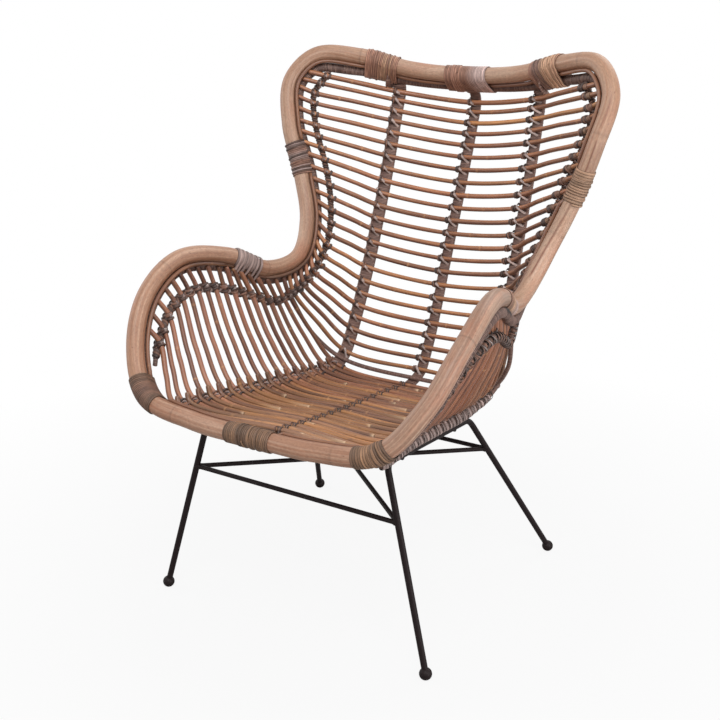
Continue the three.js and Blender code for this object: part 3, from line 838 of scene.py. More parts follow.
def moulding():
    """The thin strip that covers the cut ends of the canes and dips under the bindings."""
    shares = rim_shares_between(-1, 0.999, POLE_STEP)
    at, inward, front = rim(shares)
    bound = np.zeros(len(shares))
    for place, length in DIPS:
        away = np.abs(np.abs(shares) - place) * RIM_HALF_LENGTH
        bound = np.maximum(bound, 1 - smooth_step(away, length / 2 - 0.006, length / 2 + 0.012))
    over_top = 1 - smooth_step(np.abs(shares), 0.17, 0.24)
    rise = MOULDING_RISE - 0.0078 * bound
    rise = rise - 0.0045 * over_top * (1 - bound)
    inset = MOULDING_INSET + 0.0003 * over_top[:, None]
    joints = joints_along(lengths_along(at), 0.2, 0.4)
    # Painted shade: the moulding is made darker beside the arm joints, under the arms' poles.
    by_arm = 1 - smooth_step(np.abs(np.abs(shares) - 0.565), 0.085, 0.11)
    tints = MOULDING_BROWN * (1 - 0.7 * by_arm)[:, None]
    centre = at + inward * inset + front * rise[:, None]
    piece = Piece("cane_end_moulding")
    piece.sweep(centre, front, inward, ring_outline(MOULDING_RADIUS, 12), tints, 0.4 * joints)
    return piece.finish(cane_material, "cane")


def wrap_turns(lengths):
    """The grooves between the turns of a wrapping: 1 in a groove, 0 on a crown."""
    part = (lengths / WRAP_PITCH) % 1
    return np.clip(np.abs(part - 0.5) * 2, 0, 1) ** 2


def wrapped_rod(piece, at, across, out, outline, tint=WRAP_BROWN):
    """A rod under close turns of fine cane."""
    groove = wrap_turns(lengths_along(at))
    # The grooves are also passed on as painted shade.
    piece.sweep(at, across, out, outline, tint, groove, 1 - WRAP_GROOVE * groove)


def liner():
    """The wrapped rod inside the rim, with painted shade in the hollow above it beside each arm
    joint.
    """
    shares = rim_shares_between(-0.9995, 0.9995, WRAP_STEP)
    at, inward, front = rim(shares)
    away = np.abs(shares)
    at_top = 1 - smooth_step(away, 0.15, 0.24)
    inset = LINER_SIDE_INSET + (LINER_TOP_INSET - LINER_SIDE_INSET) * at_top
    centre = at + inward * inset[:, None] - front * LINER_SETBACK
    outline = ring_outline(LINER_RADIUS, 16)
    upward = (front[:, None, 2] * outline[:, 0] + inward[:, None, 2] * outline[:, 1]) / LINER_RADIUS
    # Painted shade: the liner's upper side is darkened in the hollow under the pole beside each arm
    # joint.
    by_joint = (1 - smooth_step(np.abs(away - 0.59), 0.012, 0.026))[:, None]
    hollow = by_joint * smooth_step(upward, -0.4, 0.2)
    corner = smooth_step(away, 0.12, 0.17)[:, None]
    tints = WRAP_BROWN * (0.82 - 0.24 * corner - 0.54 * hollow)[..., None]
    groove = wrap_turns(lengths_along(centre))
    # Painted shade in the grooves between turns and in the hollow.
    dark = np.maximum(groove[:, None], hollow)
    piece = Piece("wrapped_liner")
    piece.sweep(centre, front, inward, outline, tints, dark, 1 - WRAP_GROOVE * groove)
    return piece.finish(wrapped_material, "wrapped_rod", "liner")


pole("back_rim_pole", -ARM_JOINT, ARM_JOINT, "back_pole")
pole("front_rim_pole", ARM_JOINT, 2 - ARM_JOINT, "front_pole")
moulding()
liner()


# ---- spines, stringers and the hip rod


def rail_strand(crossing, canes, width, thickness):
    """A rail below its canes at an even step, with its width and thickness at each place."""
    level, across, out = rail(crossing, canes)
    thickness = np.broadcast_to(thickness, len(canes)).astype(float)
    width = np.broadcast_to(width, len(canes)).astype(float)
    at = level - out * (CANE_RADIUS + CLEARANCE + thickness / 2)[:, None]
    return evenly(at, (across, out, width, thickness), WRAP_STEP)


def both_sides(side, *values):
    """Places on the right as they are, or mirrored to the left. Outward stays first across."""
    if side > 0:
        return values
    at, across, out = values
    return mirror(at), -mirror(across), mirror(out)


def centre_spine(name, start, end, *nodes):
    """The flat wrapped spine in the middle, from one cane to another."""
    sizes = SPINE_WIDTH, SPINE_THICKNESS
    strand = rail_strand(middle_crossing, np.linspace(start, end, 500), *sizes)
    at, across, out, width, thickness = strand
    piece = Piece(name)
    wrapped_rod(piece, at, across, out, flat_outline(width, thickness))
    return piece.finish(wrapped_material, "wrapped_rod", *nodes)


def side_spine_sizes(canes):
    """Width and thickness: flat up the back, round under the seat and slimmer to the front."""
    rounded = smooth_step(canes, HIP_CANE, HIP_CANE + 4)
    slim = smooth_step(canes, *SLIM_CANES)
    diameter = SEAT_RAIL_DIAMETER + (SEAT_RAIL_END_DIAMETER - SEAT_RAIL_DIAMETER) * slim
    width = SIDE_SPINE_WIDTH + (diameter - SIDE_SPINE_WIDTH) * rounded
    thickness = SPINE_THICKNESS + (diameter - SPINE_THICKNESS) * rounded
    return width, thickness


def side_spine(name, side, node):
    """A side spine of the back, which runs on under the seat as its rail."""
    canes = np.linspace(0, RAIL_END_CANE, 900)
    at, across, out, width, thickness = rail_strand(spine_crossing, canes, *side_spine_sizes(canes))
    piece = Piece(name)
    wrapped_rod(piece, *both_sides(side, at, across, out), flat_outline(width, thickness))
    return piece.finish(wrapped_material, "wrapped_rod", node)


def hip_points():
    """The hip rod: outside at the elbows of the stringers, before the spines, behind the sitter."""
    level, _, out = rail(arm_crossing, HIP_CANE)
    elbow = (level - out * (CANE_RADIUS + CLEARANCE + STRINGER_RADIUS))[0]
    _, _, flank = rail(spine_crossing, HIP_CANE)
    _, _, back = rail(middle_crossing, HIP_CANE)
    lift = STRINGER_RADIUS - CANE_RADIUS
    side = (spine_crossing(HIP_CANE) + flank * lift)[0]
    middle = (middle_crossing(HIP_CANE) + back * lift)[0]
    wall = (elbow + side) / 2 - flank[0] * SPINE_WIDTH
    half = [elbow, wall, side]
    return np.array([*half, middle, *(mirror(p) for p in reversed(half))])


def side_hoop():
    """Both side stringers, dark at their free ends, and the hip rod between them."""
    piece = Piece("side_stringers_and_hip_rod")
    width, outline = 2 * STRINGER_RADIUS, ring_outline(STRINGER_RADIUS, 12)
    at, across, out, _, _ = rail_strand(arm_crossing, np.linspace(0, LAST_ROW, 900), width, width)
    lengths = lengths_along(at)
    by_end = smooth_step(lengths, lengths[-1] - 0.04, lengths[-1] - 0.01)
    tints = WRAP_BROWN * (1 - 0.7 * by_end)[:, None]
    for side in (1, -1):
        wrapped_rod(piece, *both_sides(side, at, across, out), outline, tints)
    points = points_along(Guide(hip_points()), 400, WRAP_STEP)
    wrapped_rod(piece, points, *turned_least(points, (0, 0, 1)), outline)
    return piece.finish(wrapped_material, "wrapped_rod", "side_hoop")


def spine_tops():
    """The wrapping of each spine widens at its top and is drawn over the front of the liner."""
    piece = Piece("spine_tops")
    shares = np.linspace(0, 0.2, 400)
    reach = LINER_RADIUS + 0.0016
    insets = LINER_TOP_INSET + reach * np.array([1.15, 0.75, -0.1, -0.75])
    rises = -LINER_SETBACK + reach * np.array([0.1, 0.75, 1.0, 0.75])
    tops = ((middle_crossing, SPINE_WIDTH, (1,)), (spine_crossing, SIDE_SPINE_WIDTH, (1, -1)))
    for crossing, width, sides in tops:
        below = rail_strand(crossing, np.linspace(0, 0.6, 8), width, SPINE_THICKNESS)[0]
        nearest = shares[np.argmin(np.abs(rim(shares)[0][:, 0] - below[0, 0]))]
        above = rim_points(np.full(4, nearest), insets, rises)
        points = points_along(Guide([below[-1], below[0], *above]), 200, WRAP_STEP)
        lengths = lengths_along(points)
        widths = width * (0.96 + 0.12 * smooth_step(lengths / lengths[-1], 0.3, 1))
        outline = flat_outline(widths, np.full(len(widths), 0.005))
        across, out = turned_least(points, (1, 0, 0))
        for side in sides:
            wrapped_rod(piece, *both_sides(side, points, across, out), outline)
    return piece.finish(wrapped_material, "wrapped_rod")


centre_spine("centre_back_spine", 0, SEAT_JOINT_CANE, "centre_spine")
spine_tops()
side_spine("right_back_spine", 1, "right_spine")
side_spine("left_back_spine", -1, "left_spine")
side_hoop()


# ---- canes


def cane_tint(cane):
    """A tint picked for a cane: red brown, golden or plum, and on the seat olive half way to the
    front and paler from there."""
    if cane in TOP_CANE_SHADES:
        return CANE_RED * TOP_CANE_SHADES[cane]
    on_back = cane <= LAST_BACK_CANE
    base = CANE_RED
    if cane in GOLDEN_SEAT_CANES:
        base = CANE_GOLD
    elif not on_back:
        front = (cane - LAST_BACK_CANE) / (LAST_SEAT_CANE - LAST_BACK_CANE)
        base = CANE_RED + (CANE_OLIVE - CANE_RED) * smooth_step(front, 0.25, 0.6)
        base = base + (CANE_TAN - base) * smooth_step(front, 0.65, 0.9)
    pick = chance.uniform()
    other = CANE_GOLD if pick < 0.27 else CANE_PLUM if pick < 0.54 else base
    mix = chance.uniform(0.2, 0.6) if on_back else chance.uniform(0.4, 0.9)
    shade = chance.uniform(0.86, 1.14) if on_back else chance.uniform(0.62, 0.98)
    half_way = near(cane, (LAST_BACK_CANE + LAST_SEAT_CANE) / 2, 5)
    return (base + (other - base) * mix) * shade * (1 - 0.16 * half_way)


def cane_curve(cane):
    """A cane's curve. Knot 1 is on the right side stringer, 3 on the right spine, 4 in the middle,
    5 on the left spine and 7 on the left side stringer."""
    number = np.atleast_1d(float(cane))
    half = [place(number)[0] for place in (cane_ends, arm_crossing, wall_points, spine_crossing)]
    return Guide([*half, middle_crossing(number)[0], *(mirror(p) for p in reversed(half))])


cane_curves = {cane: cane_curve(cane) for cane in range(1, LAST_SEAT_CANE + 1)}


def round_cane(piece, points, radius, tint, painted_highlight, taper=1.0):
    """A cane with swollen joints and rounded ends, with painted shade below and a painted golden
    highlight above.
    """
    lengths = lengths_along(points)
    joints = joints_along(lengths, 0.16, 0.34)
    wave = 0.025 * np.sin(lengths * chance.uniform(25, 60) + chance.uniform(0, 6))
    across, out = turned_least(points, (0, 0, 1))
    swell = (1 + wave + 0.07 * joints) * rounded_ends(lengths, radius * taper)
    outline = ring_outline(radius, 12)
    ways = across[:, None] * outline[..., :1] + out[:, None] * outline[..., 1:]
    rise = ways[..., 2] / radius
    fade = 1 + 0.16 * np.sin(lengths * chance.uniform(4, 9) + chance.uniform(0, 6))
    # Painted shade where the cane faces down, and a golden painted highlight where it faces up.
    light = 0.39 + 0.79 * smooth_step(rise, -0.75, 0.8)
    tints = np.broadcast_to(tint, (len(points), 3))[:, None]
    tints = tints + (CANE_GOLD * 1.1 - tints) * painted_highlight * smooth_step(rise, 0.1, 0.9)[..., None]
    tints = tints * (fade[:, None] * light)[..., None]
    piece.sweep(points, across, out, outline, tints, joints, swell)


def wall_tint(cane, aside):
    """A seat cane's tint up the walls: paler and darker in turn, more golden on the right, with
    painted shade on the left wall and painted light on the right.
    """
    odd = cane % 2
    pale = chance.uniform(0.3, 0.8) if odd else chance.uniform(0, 0.3)
    shade = chance.uniform(0.95, 1.2) if odd else chance.uniform(0.5, 0.75)
    tint = (CANE_RED + (CANE_TAN - CANE_RED) * pale) * shade
    right = smooth_step(aside, -0.1, 0.1)
    tint = tint + (CANE_GOLD - tint) * right * (0.5 if cane % 3 == 0 else 0.12)
    # Painted shade on the left wall and painted light on the right wall.
    return tint * ARM_CANE_SHADE * (0.64 + 0.62 * right)


def canes():
    """The canes of the back, then those of the seat, each in one piece from side to side."""
    for cane in range(1, LAST_SEAT_CANE + 1):
        on_back = cane <= LAST_BACK_CANE
        row, number = ("back", cane) if on_back else ("seat", cane - LAST_BACK_CANE)
        points, tint = points_along(cane_curves[cane], 400, CANE_STEP), cane_tint(cane)
        aside = points[:, :1]
        if cane == GOLDEN_BACK_CANE:
            tint = tint + (CANE_GOLD * 1.1 - tint) * smooth_step(aside, -0.1, 0.06)
        if on_back:
            # Painted shade: the back canes are darker towards the right wing.
            tint = tint * (1 - 0.2 * smooth_step(aside, 0.14, 0.24))
        else:
            tint = tint + (wall_tint(cane, aside) - tint) * smooth_step(np.abs(aside), 0.12, 0.2)
        radius = CANE_RADIUS * (chance.uniform(0.92, 1.1) if cane % 2 else 0.94)
        piece = Piece(f"{row}_round_cane_{number:02d}")
        round_cane(piece, points, radius, tint, painted_highlight=0.4 if on_back else 0.14)
        piece.finish(cane_material, "cane", f"{row}_cane_{number:02d}")


def filler_half(points, cut, side):
    """The part of a filler on one side of its cut, which ends exactly beside the cut."""
    place = cut + side * CUT_GAP
    end = [np.interp(place, points[::-1, 0], points[::-1, k]) for k in range(3)]
    half = points[(points[:, 0] - place) * side > CANE_STEP / 6]
    return np.array([*half, end] if side > 0 else [end, *half])


def seat_fillers():
    """Short canes that close the seat, each cut in two somewhere beside the centre stringer. The
    cut end on the left is fresh and pale."""
    piece = Piece("seat_filler_canes")
    for cane in range(LAST_BACK_CANE + 1, LAST_SEAT_CANE):
        number = np.atleast_1d(cane + 0.5)
        side, middle = spine_crossing(number)[0], middle_crossing(number)[0]
        end = side + (arm_crossing(number)[0] - side) * FILLER_REACH
        middle = middle - np.array([0, 0, FILLER_DROP])
        curve = Guide([end, side, middle, mirror(side), mirror(end)])
        points = points_along(curve, 120, CANE_STEP)
        cut = chance.choice([-1, 1]) * chance.uniform(0.02, 0.15)
        for way in (1, -1):
            half = filler_half(points, cut, way)
            tint = cane_tint(cane) * chance.uniform(0.55, 1.0)
            away = np.abs(half[:, :1] - cut) - CUT_GAP
            patch = 0.45 * near(away, 0, 0.03) * (cane % 2)
            fresh = np.maximum(0.8 * near(away, 0, 0.006), patch) * (0.15 if way > 0 else 1)
            tints = tint + (CUT_END - tint) * fresh
            round_cane(piece, half, FILLER_RADIUS * 0.98, tints, painted_highlight=0.08, taper=0.3)
    return piece.finish(cane_material, "cane", "seat_fillers")


canes()
seat_fillers()
centre_spine("centre_seat_stringer", SEAT_JOINT_CANE + 0.02, LAST_ROW)


# ---- lashings


def strap(piece, points, centre, width, thickness, tint, fineness=5):
    """A closed strip of cane bent through points round a centre."""
    count = fineness * len(points)
    loop = Guide(points, closed=True).at(np.linspace(0, len(points), count, endpoint=False))
    along = unit(np.roll(loop, -1, axis=0) - np.roll(loop, 1, axis=0))
    out = square_to(loop - centre, along)
    across = np.cross(out, along)
    piece.sweep(loop, across, out, strip_outline(width, thickness), tint, STRIP_EDGE_SHADE, closed=True)


def place_at(crossing, cane, side):
    """Where a cane crosses a rail: the crossing, then the ways to the right, down the rail and to
    the sitter. The rail runs behind the cane."""
    values = both_sides(side, *rail(crossing, float(cane)))
    at, across, out = (v[0] for v in values)
    return at, across, np.cross(across, out), out


def looped(piece, place, path, centre, width, tint):
    """A strap through a path of lengths to the right, down the rail and to the sitter."""
    at, across, along, out = place
    turned = [at + across * u + along * v + out * w for u, v, w in path]
    middle = at + across * centre[0] + along * centre[1] + out * centre[2]
    strap(piece, turned, middle, width, STRAP_THICKNESS, tint)


def slanted_strap(piece, place, half, depth, slant, width, tint, span=(-1, 1), lift=STRAP_FIT):
    """One turn over the cane and round the rail behind it, down to the right by a slant. It spans
    shares of the rail's half width, and its lift is its height over the cane."""
    top = CANE_RADIUS + lift
    face = STRAP_FIT - CANE_RADIUS
    back = -(CANE_RADIUS + CLEARANCE + depth + STRAP_BACK_FIT)
    left, right = span[0] * half - STRAP_FIT, span[1] * half + STRAP_FIT
    middle = (left + right) / 2 - 0.12 * half
    path = [
        (left, -slant, face - 0.3 * depth),
        (left * 0.8 + middle * 0.2, -0.75 * slant, face + 0.4 * CANE_RADIUS),
        (middle, 0, top),
        (right * 0.55 + middle * 0.45, 0.72 * slant, face + 0.4 * CANE_RADIUS),
        (right, 1.1 * slant, face - 0.4 * depth),
        (right * 0.75, 0.8 * slant, back),
        (left * 0.75, -0.8 * slant, back),
    ]
    looped(piece, place, path, (middle, 0, (top + back) / 2), width, tint)


def hitch(piece, cane, knot, shift, width, height, tint, lean):
    """A turn of strip round a cane, a length to the viewer's left of one of its knots."""
    curve, step = cane_curves[cane], 0.02
    before, after = curve.at([knot - step, knot + step])
    place = knot + shift * 2 * step / np.linalg.norm(after - before)
    before, centre, after = curve.at([place - step, place, place + step])
    along = unit(after - before)
    up = square_to(np.array([0.2, -0.8, 0.55]), along)
    turn = np.linspace(0, 2 * np.pi, 8, endpoint=False)[:, None]
    ring = np.cos(turn) * up + np.sin(turn) * np.cross(along, up)
    points = centre + ring * (CANE_RADIUS + HITCH_FIT) + along * lean * np.sin(turn + 0.8)
    strap(piece, points, centre, width, height, tint, 3)


def strap_tint(*tints):
    """One of the tints, a little darker or paler."""
    return tints[chance.integers(len(tints))] * chance.uniform(0.8, 1.2)


def spine_lashings():
    """A grey strap slants over each cane on a spine, and ends in a dark knot on the left of it."""
    piece = Piece("back_lashings")
    rails = [(middle_crossing, 1, 4, SPINE_WIDTH)]
    rails += [(spine_crossing, side, knot, SIDE_SPINE_WIDTH) for side, knot in ((1, 3), (-1, 5))]
    for cane in range(1, LAST_BACK_CANE + 1):
        for crossing, side, knot, width in rails:
            half = width / 2
            round_both = piece, place_at(crossing, cane, side), half, SPINE_THICKNESS
            slant = chance.uniform(0.0075, 0.0105)
            grey = strap_tint(STRAP_GREY * 1.15)
            slanted_strap(*round_both, slant, 0.0062, grey, (-1, 0.7), 0.0018)
            dark = strap_tint(STRAP_DARK, BIND_BROWN)
            slanted_strap(*round_both, slant * 0.4, 0.004, dark, (-1.05, -0.05))
            for shift, height in ((-0.0056, 0.0016), (-0.0024, 0.0026), (0.0008, 0.0017)):
                lean = chance.uniform(-0.0012, 0.0012)
                tint = strap_tint(STRAP_DARK, BIND_BROWN, BIND_DARK)
                hitch(piece, cane, knot, half + shift, 0.0036, height, tint, lean)
    return piece.finish(strip_material, "binding")


def stringer_hitches(side, chunky, half):
    """Where a lashing of a side stringer has its hitches, as lengths to the viewer's left."""
    if chunky > 0.5:
        return [-0.0075, -0.004, -0.0005, 0.003, 0.0065] if side > 0 else [-0.0048, 0.0, 0.0048]
    if side > 0 and chunky < 0.5:
        return [0.006, 0.0015, -0.004, -0.009, -0.0135, -0.018]
    return [-half, half]


def stringer_lashings():
    """Straps and hitches on each cane: light on the left wing, dark and with a sleeve to the right
    on the right wing, broad along the left arm, and many and narrow along the right arm."""
    pieces = {1: Piece("right_stringer_lashings"), -1: Piece("left_stringer_lashings")}
    for cane in range(1, LAST_SEAT_CANE + 1):
        chunky = float(smooth_step(cane, *CHUNKY_CANES))
        half = STRINGER_RADIUS + 0.0012 + 0.0014 * chunky
        depth = 2 * STRINGER_RADIUS + 0.0015 * chunky
        lift = STRAP_FIT + 0.0026 * chunky
        for side, knot in ((1, 1), (-1, 7)):
            tangled = side > 0 and chunky > 0.5
            piece = pieces[side]
            round_both = piece, place_at(arm_crossing, cane, side), half, depth
            slant = chance.uniform(0.0055, 0.0075)
            light, dark = strap_tint(STRAP_GREY, BIND_GREY), strap_tint(STRAP_DARK, BIND_DARK)
            if tangled:
                light = strap_tint(BIND_BROWN, STRAP_GREY * 0.6)
                slant = chance.uniform(0.006, 0.012)
            width = 0.0046 - 0.0014 * chunky * side
            slanted_strap(*round_both, slant, width, light, lift=lift)
            slanted_strap(*round_both, -slant * chunky, 0.0042, dark, lift=lift)
            for shift in stringer_hitches(side, chunky, half):
                sleeve = shift < SLEEVE_SHIFT
                lean = chance.uniform(-0.0024, 0.0024) * (0.3 if sleeve else 2 if tangled else 1)
                width, height = 0.0056, 0.0016 + 0.0014 * max(chunky, side)
                if sleeve:
                    tint, height = strap_tint(BIND_BROWN, BIND_TAN * 0.7), 0.0008
                else:
                    tint = strap_tint(STRAP_DARK, BIND_BROWN, BIND_DARK)
                    height = height * chance.uniform(0.7, 1.2)
                if tangled:
                    width = chance.uniform(0.0024, 0.004)
                    tint = strap_tint(STRAP_DARK * 0.6, BIND_BROWN, STRAP_GREY * 0.65)
                shift = shift + chance.uniform(-0.0008, 0.0008)
                hitch(piece, cane, knot, shift, width, height, tint, lean)
    for piece in pieces.values():
        piece.finish(strip_material, "binding")


def stringer_windings():
    """The two strips that wind round each side stringer between the canes."""
    piece = Piece("stringer_windings")
    canes = np.linspace(0.3, LAST_SEAT_CANE + 0.6, 6000)
    level, across, out = rail(arm_crossing, canes)
    at = level - out * (CANE_RADIUS + CLEARANCE + STRINGER_RADIUS)
    chunky = smooth_step(canes, *CHUNKY_CANES)
    at, across, out, chunky = evenly(at, (across, out, chunky), 0.0009)
    lengths, swell = lengths_along(at), 1 + 0.4 * chunky
    outline = strip_outline(0.0052, 0.0022)
    for side in (1, -1):
        middle, right, front = both_sides(side, at, across, out)
        for start, tint in ((0.0, STRAP_DARK), (0.5, BIND_BROWN * 0.8)):
            turn = 2 * np.pi * (lengths / WINDING_PITCH + start) * side
            way = unit(right) * np.cos(turn)[:, None] + unit(front) * np.sin(turn)[:, None]
            place = middle + way * (STRINGER_RADIUS + 0.0001)
            along = unit(np.gradient(place, axis=0))
            tints = tint * (1 + 0.3 * np.sin(lengths * 130 + start)[:, None])
            piece.sweep(place, np.cross(way, along), way, outline, tints, STRIP_EDGE_SHADE, swell)
    return piece.finish(strip_material, "binding")


# The straps from one seat cane to the next: the share of the way, the tint and the width
SEAT_RAIL_STRAPS = [
    (0, BIND_GREY, 0.0062),
    (0.33, STRAP_DARK, 0.004),
    (0.5, BIND_GREY * 0.8, 0.006),
    (0.83, BIND_DARK, 0.004),
]


def seat_lashings():
    """Broad light and dark straps wind round the seat's side rails, and a dark twist with light
    loops runs along its middle."""
    piece = Piece("seat_lashings")
    for cane in range(LAST_BACK_CANE + 1, LAST_SEAT_CANE + 1):
        width, thickness = (size[0] for size in side_spine_sizes(np.array([float(cane)])))
        half = width / 2
        for side, knot in ((1, 3), (-1, 5)):
            place = place_at(spine_crossing, cane, side)
            for shift in (-half - 0.0026, half + 0.0026):
                tint = strap_tint(STRAP_DARK, BIND_BROWN)
                hitch(piece, cane, knot, shift, 0.0048, 0.0026, tint, 0.0008)
            tint = strap_tint(STRAP_DARK)
            slanted_strap(piece, place, half, thickness, -0.006 * side, 0.0044, tint)
            for part, tint, width in SEAT_RAIL_STRAPS:
                place = place_at(spine_crossing, min(cane + part, LAST_SEAT_CANE + 0.4), side)
                turn = piece, place, half, thickness, 0.0066 * side, width
                slanted_strap(*turn, strap_tint(tint), lift=-0.0035 if part else STRAP_FIT)
        half = SPINE_WIDTH * 0.24
        round_both = piece, place_at(middle_crossing, cane, 1), half, SPINE_THICKNESS
        tint = strap_tint(STRAP_DARK * 0.7, BIND_DARK * 0.8)
        slanted_strap(*round_both, 0.0058, 0.0066, tint)
        tint = strap_tint(BIND_BROWN, BIND_TAN * 0.8)
        slanted_strap(*round_both, -0.0056, 0.0034, tint)
        for shift, tint in ((-half, STRAP_DARK), (half, BIND_BROWN)):
            hitch(piece, cane, 4, shift, 0.0036, 0.0012, strap_tint(tint), 0.0008)
    return piece.finish(strip_material, "binding")


spine_lashings()
stringer_lashings()
stringer_windings()
seat_lashings()


# ---- bindings


def wound_outline(beside, lift, count):
    """The outline that a strip takes round the pole, or round the pole and what lies beside it,
    as lengths to the front and inwards, with the way out at each point."""
    span = np.array(LINER_AT_SIDE[:2])
    angle = math.atan2(span[1], span[0]) + 2 * np.pi * np.arange(count) / count
    faces = np.stack([np.cos(angle), np.sin(angle)], axis=1)
    reach = np.full(count, POLE_RADIUS)
    for front, inward, radius in beside:
        reach = np.maximum(reach, faces @ np.array([front, inward]) + radius)
    reach = reach + lift
    following, far = np.roll(faces, -1, axis=0), np.roll(reach, -1)
    turn = faces[:, 0] * following[:, 1] - faces[:, 1] * following[:, 0]
    x = (reach * following[:, 1] - far * faces[:, 1]) / turn
    y = (far * faces[:, 0] - reach * following[:, 0]) / turn
    return np.stack([x, y], axis=1), unit(faces + following)


def wound_strip(piece, start, end, turns, beside, lift, size, tint, slant=0.0):
    """A strip wound round the rim from one share of it to another."""
    count = 36
    outline, outward = wound_outline(beside, lift, count)
    steps = np.arange(int(turns * count) + 1)
    corner = steps % count
    place, way = outline[corner], outward[corner]
    middle = start + (end - start) * steps / steps[-1]
    middle = middle + slant * np.sin(2 * np.pi * steps / count) / RIM_HALF_LENGTH
    _, inward, front = rim(middle)
    at = rim_points(middle, place[:, 1], place[:, 0])
    out = front * way[:, :1] + inward * way[:, 1:]
    along = unit(np.gradient(at, axis=0))
    tints = tint(steps / count) if callable(tint) else tint
    piece.sweep(at, np.cross(along, out), out, strip_outline(*size), tints, STRIP_EDGE_SHADE)


# Tints of each binding, from its first turn to its last
BINDING_TINTS = {
    "top_centre": [
        *(BIND_BROWN * 1.4, BIND_BROWN * 1.6, BIND_BROWN * 1.4),
        *(BIND_GREY * 1.6, BIND_GREY * 1.8),
    ],
    "top_left": [BIND_BROWN * 1.6, BIND_BROWN * 1.5, BIND_TAN * 1.25, BIND_BROWN * 1.5],
    "top_right": [
        *(BIND_BROWN * 1.6, BIND_DARK * 2.2, BIND_TAN * 1.55),
        *(BIND_TAN * 1.6, BIND_BROWN * 2.0),
    ],
    "wing_left": [
        *(BIND_BROWN * 0.9, BIND_DARK, BIND_BROWN),
        *(BIND_GREY, BIND_BROWN * 0.9, BIND_GREY * 0.8),
    ],
    "wing_right": [BIND_TAN, BIND_TAN * 1.05, BIND_TAN * 0.9],
    "arm_left": [BIND_GREY, BIND_GREY * 1.1, BIND_GREY],
    "arm_right": [BIND_GREY * 1.3, BIND_TAN * 1.25, BIND_BROWN],
    "corner_left": [BIND_OLIVE * 0.84, BIND_BROWN * 0.78, BIND_OLIVE * 0.84],
    "corner_right": [BIND_OLIVE * 0.7, BIND_GOLD * 0.65, BIND_GOLD * 0.78, BIND_OLIVE * 0.7],
    "front_centre": [
        *(BIND_OLIVE * 0.8, BIND_GOLD * 0.7, BIND_OLIVE * 0.7),
        *(BIND_GOLD * 0.62, BIND_OLIVE * 0.7),
    ],
}


def binding(name, centre, length, beside, pitch=0.0039, slant=0.0, loose=0):
    """A strip of cane wound in close turns, with a number of loose strips over it."""
    turns = round(length / pitch)
    colours = np.array(BINDING_TINTS[name])
    stops = np.linspace(0, turns, len(colours))
    vary = chance.uniform(0.72, 1.22, turns + 2)

    def tint(turn):
        colour = [np.interp(turn, stops, colours[:, k]) for k in range(3)]
        return np.stack(colour, axis=1) * vary[turn.astype(int)][:, None]

    reach = (length - pitch) / 2 / RIM_HALF_LENGTH
    piece = Piece(f"cane_binding_{name}")
    size = (length / turns * 1.04, STRIP_THICKNESS)
    wound_strip(piece, centre - reach, centre + reach, turns, beside, STRAP_FIT, size, tint, slant)
    for _ in range(loose):
        start = centre + chance.uniform(-0.9, 0.7) * reach
        end = start + chance.uniform(0.012, 0.02) / RIM_HALF_LENGTH
        shade = strap_tint(colours[chance.integers(len(colours))])
        turns = chance.uniform(1.2, 2.2)
        wound_strip(piece, start, end, turns, beside, LOOSE_LIFT, (0.0042, 0.0014), shade)
    return piece.finish(strip_material, "binding", f"binding_{name}")


def left_arm_strips():
    """Broad strips drawn slanting over the pole and the liner, apart from each other."""
    piece = Piece("left_arm_strips")
    count, spacing = 6, 0.0118 / RIM_HALF_LENGTH
    for k in range(count):
        start = -ARM_JOINT - 0.003 + (k - (count - 1) / 2) * spacing
        end = start + chance.uniform(0.6, 1.1) * spacing
        tint = strap_tint(BIND_GREY, BIND_GREY * 1.15)
        size = (chance.uniform(0.0066, 0.009), STRIP_THICKNESS)
        slant = chance.uniform(0.002, 0.006)
        wound_strip(piece, start, end, 1.1, [LINER_AT_SIDE], LOOSE_LIFT, size, tint, slant)
    return piece.finish(strip_material, "binding")


binding("top_centre", 0, 0.106, [LINER_AT_TOP], loose=3)
binding("front_centre", 1, 0.098, [LINER_AT_SIDE], loose=3)
binding("top_left", -TOP, 0.078, [LINER_AT_TOP], loose=4)
binding("top_right", TOP + 0.004, 0.078, [LINER_AT_TOP], slant=0.004, loose=5)
binding("wing_left", -WING, 0.074, [MOULDING_UNDER_STRIP], loose=4)
binding("wing_right", WING, 0.074, [MOULDING_UNDER_STRIP], pitch=0.0062, loose=4)
binding("arm_left", -ARM_JOINT - 0.003, 0.07, [], pitch=0.0096, slant=0.004)
binding("arm_right", ARM_JOINT, 0.082, [], pitch=0.0068, slant=0.006)
binding("corner_left", 0.003 - CORNER, 0.076, [LINER_AT_SIDE])
binding("corner_right", CORNER + 0.008, 0.068, [LINER_AT_SIDE], pitch=0.0052, loose=3)
left_arm_strips()


# ---- the welded base


def bent_path(corners):
    """Points of a rod bent at its corners."""
    points = [corners[0]]
    for before, corner, after in zip(corners, corners[1:], corners[2:]):
        start = corner + unit(before - corner) * BEND_LENGTH
        end = corner + unit(after - corner) * BEND_LENGTH
        for part in np.linspace(0, 1, 13):
            points.append((1 - part) ** 2 * start + 2 * part * (1 - part) * corner + part**2 * end)
    return np.array([*points, corners[-1]])


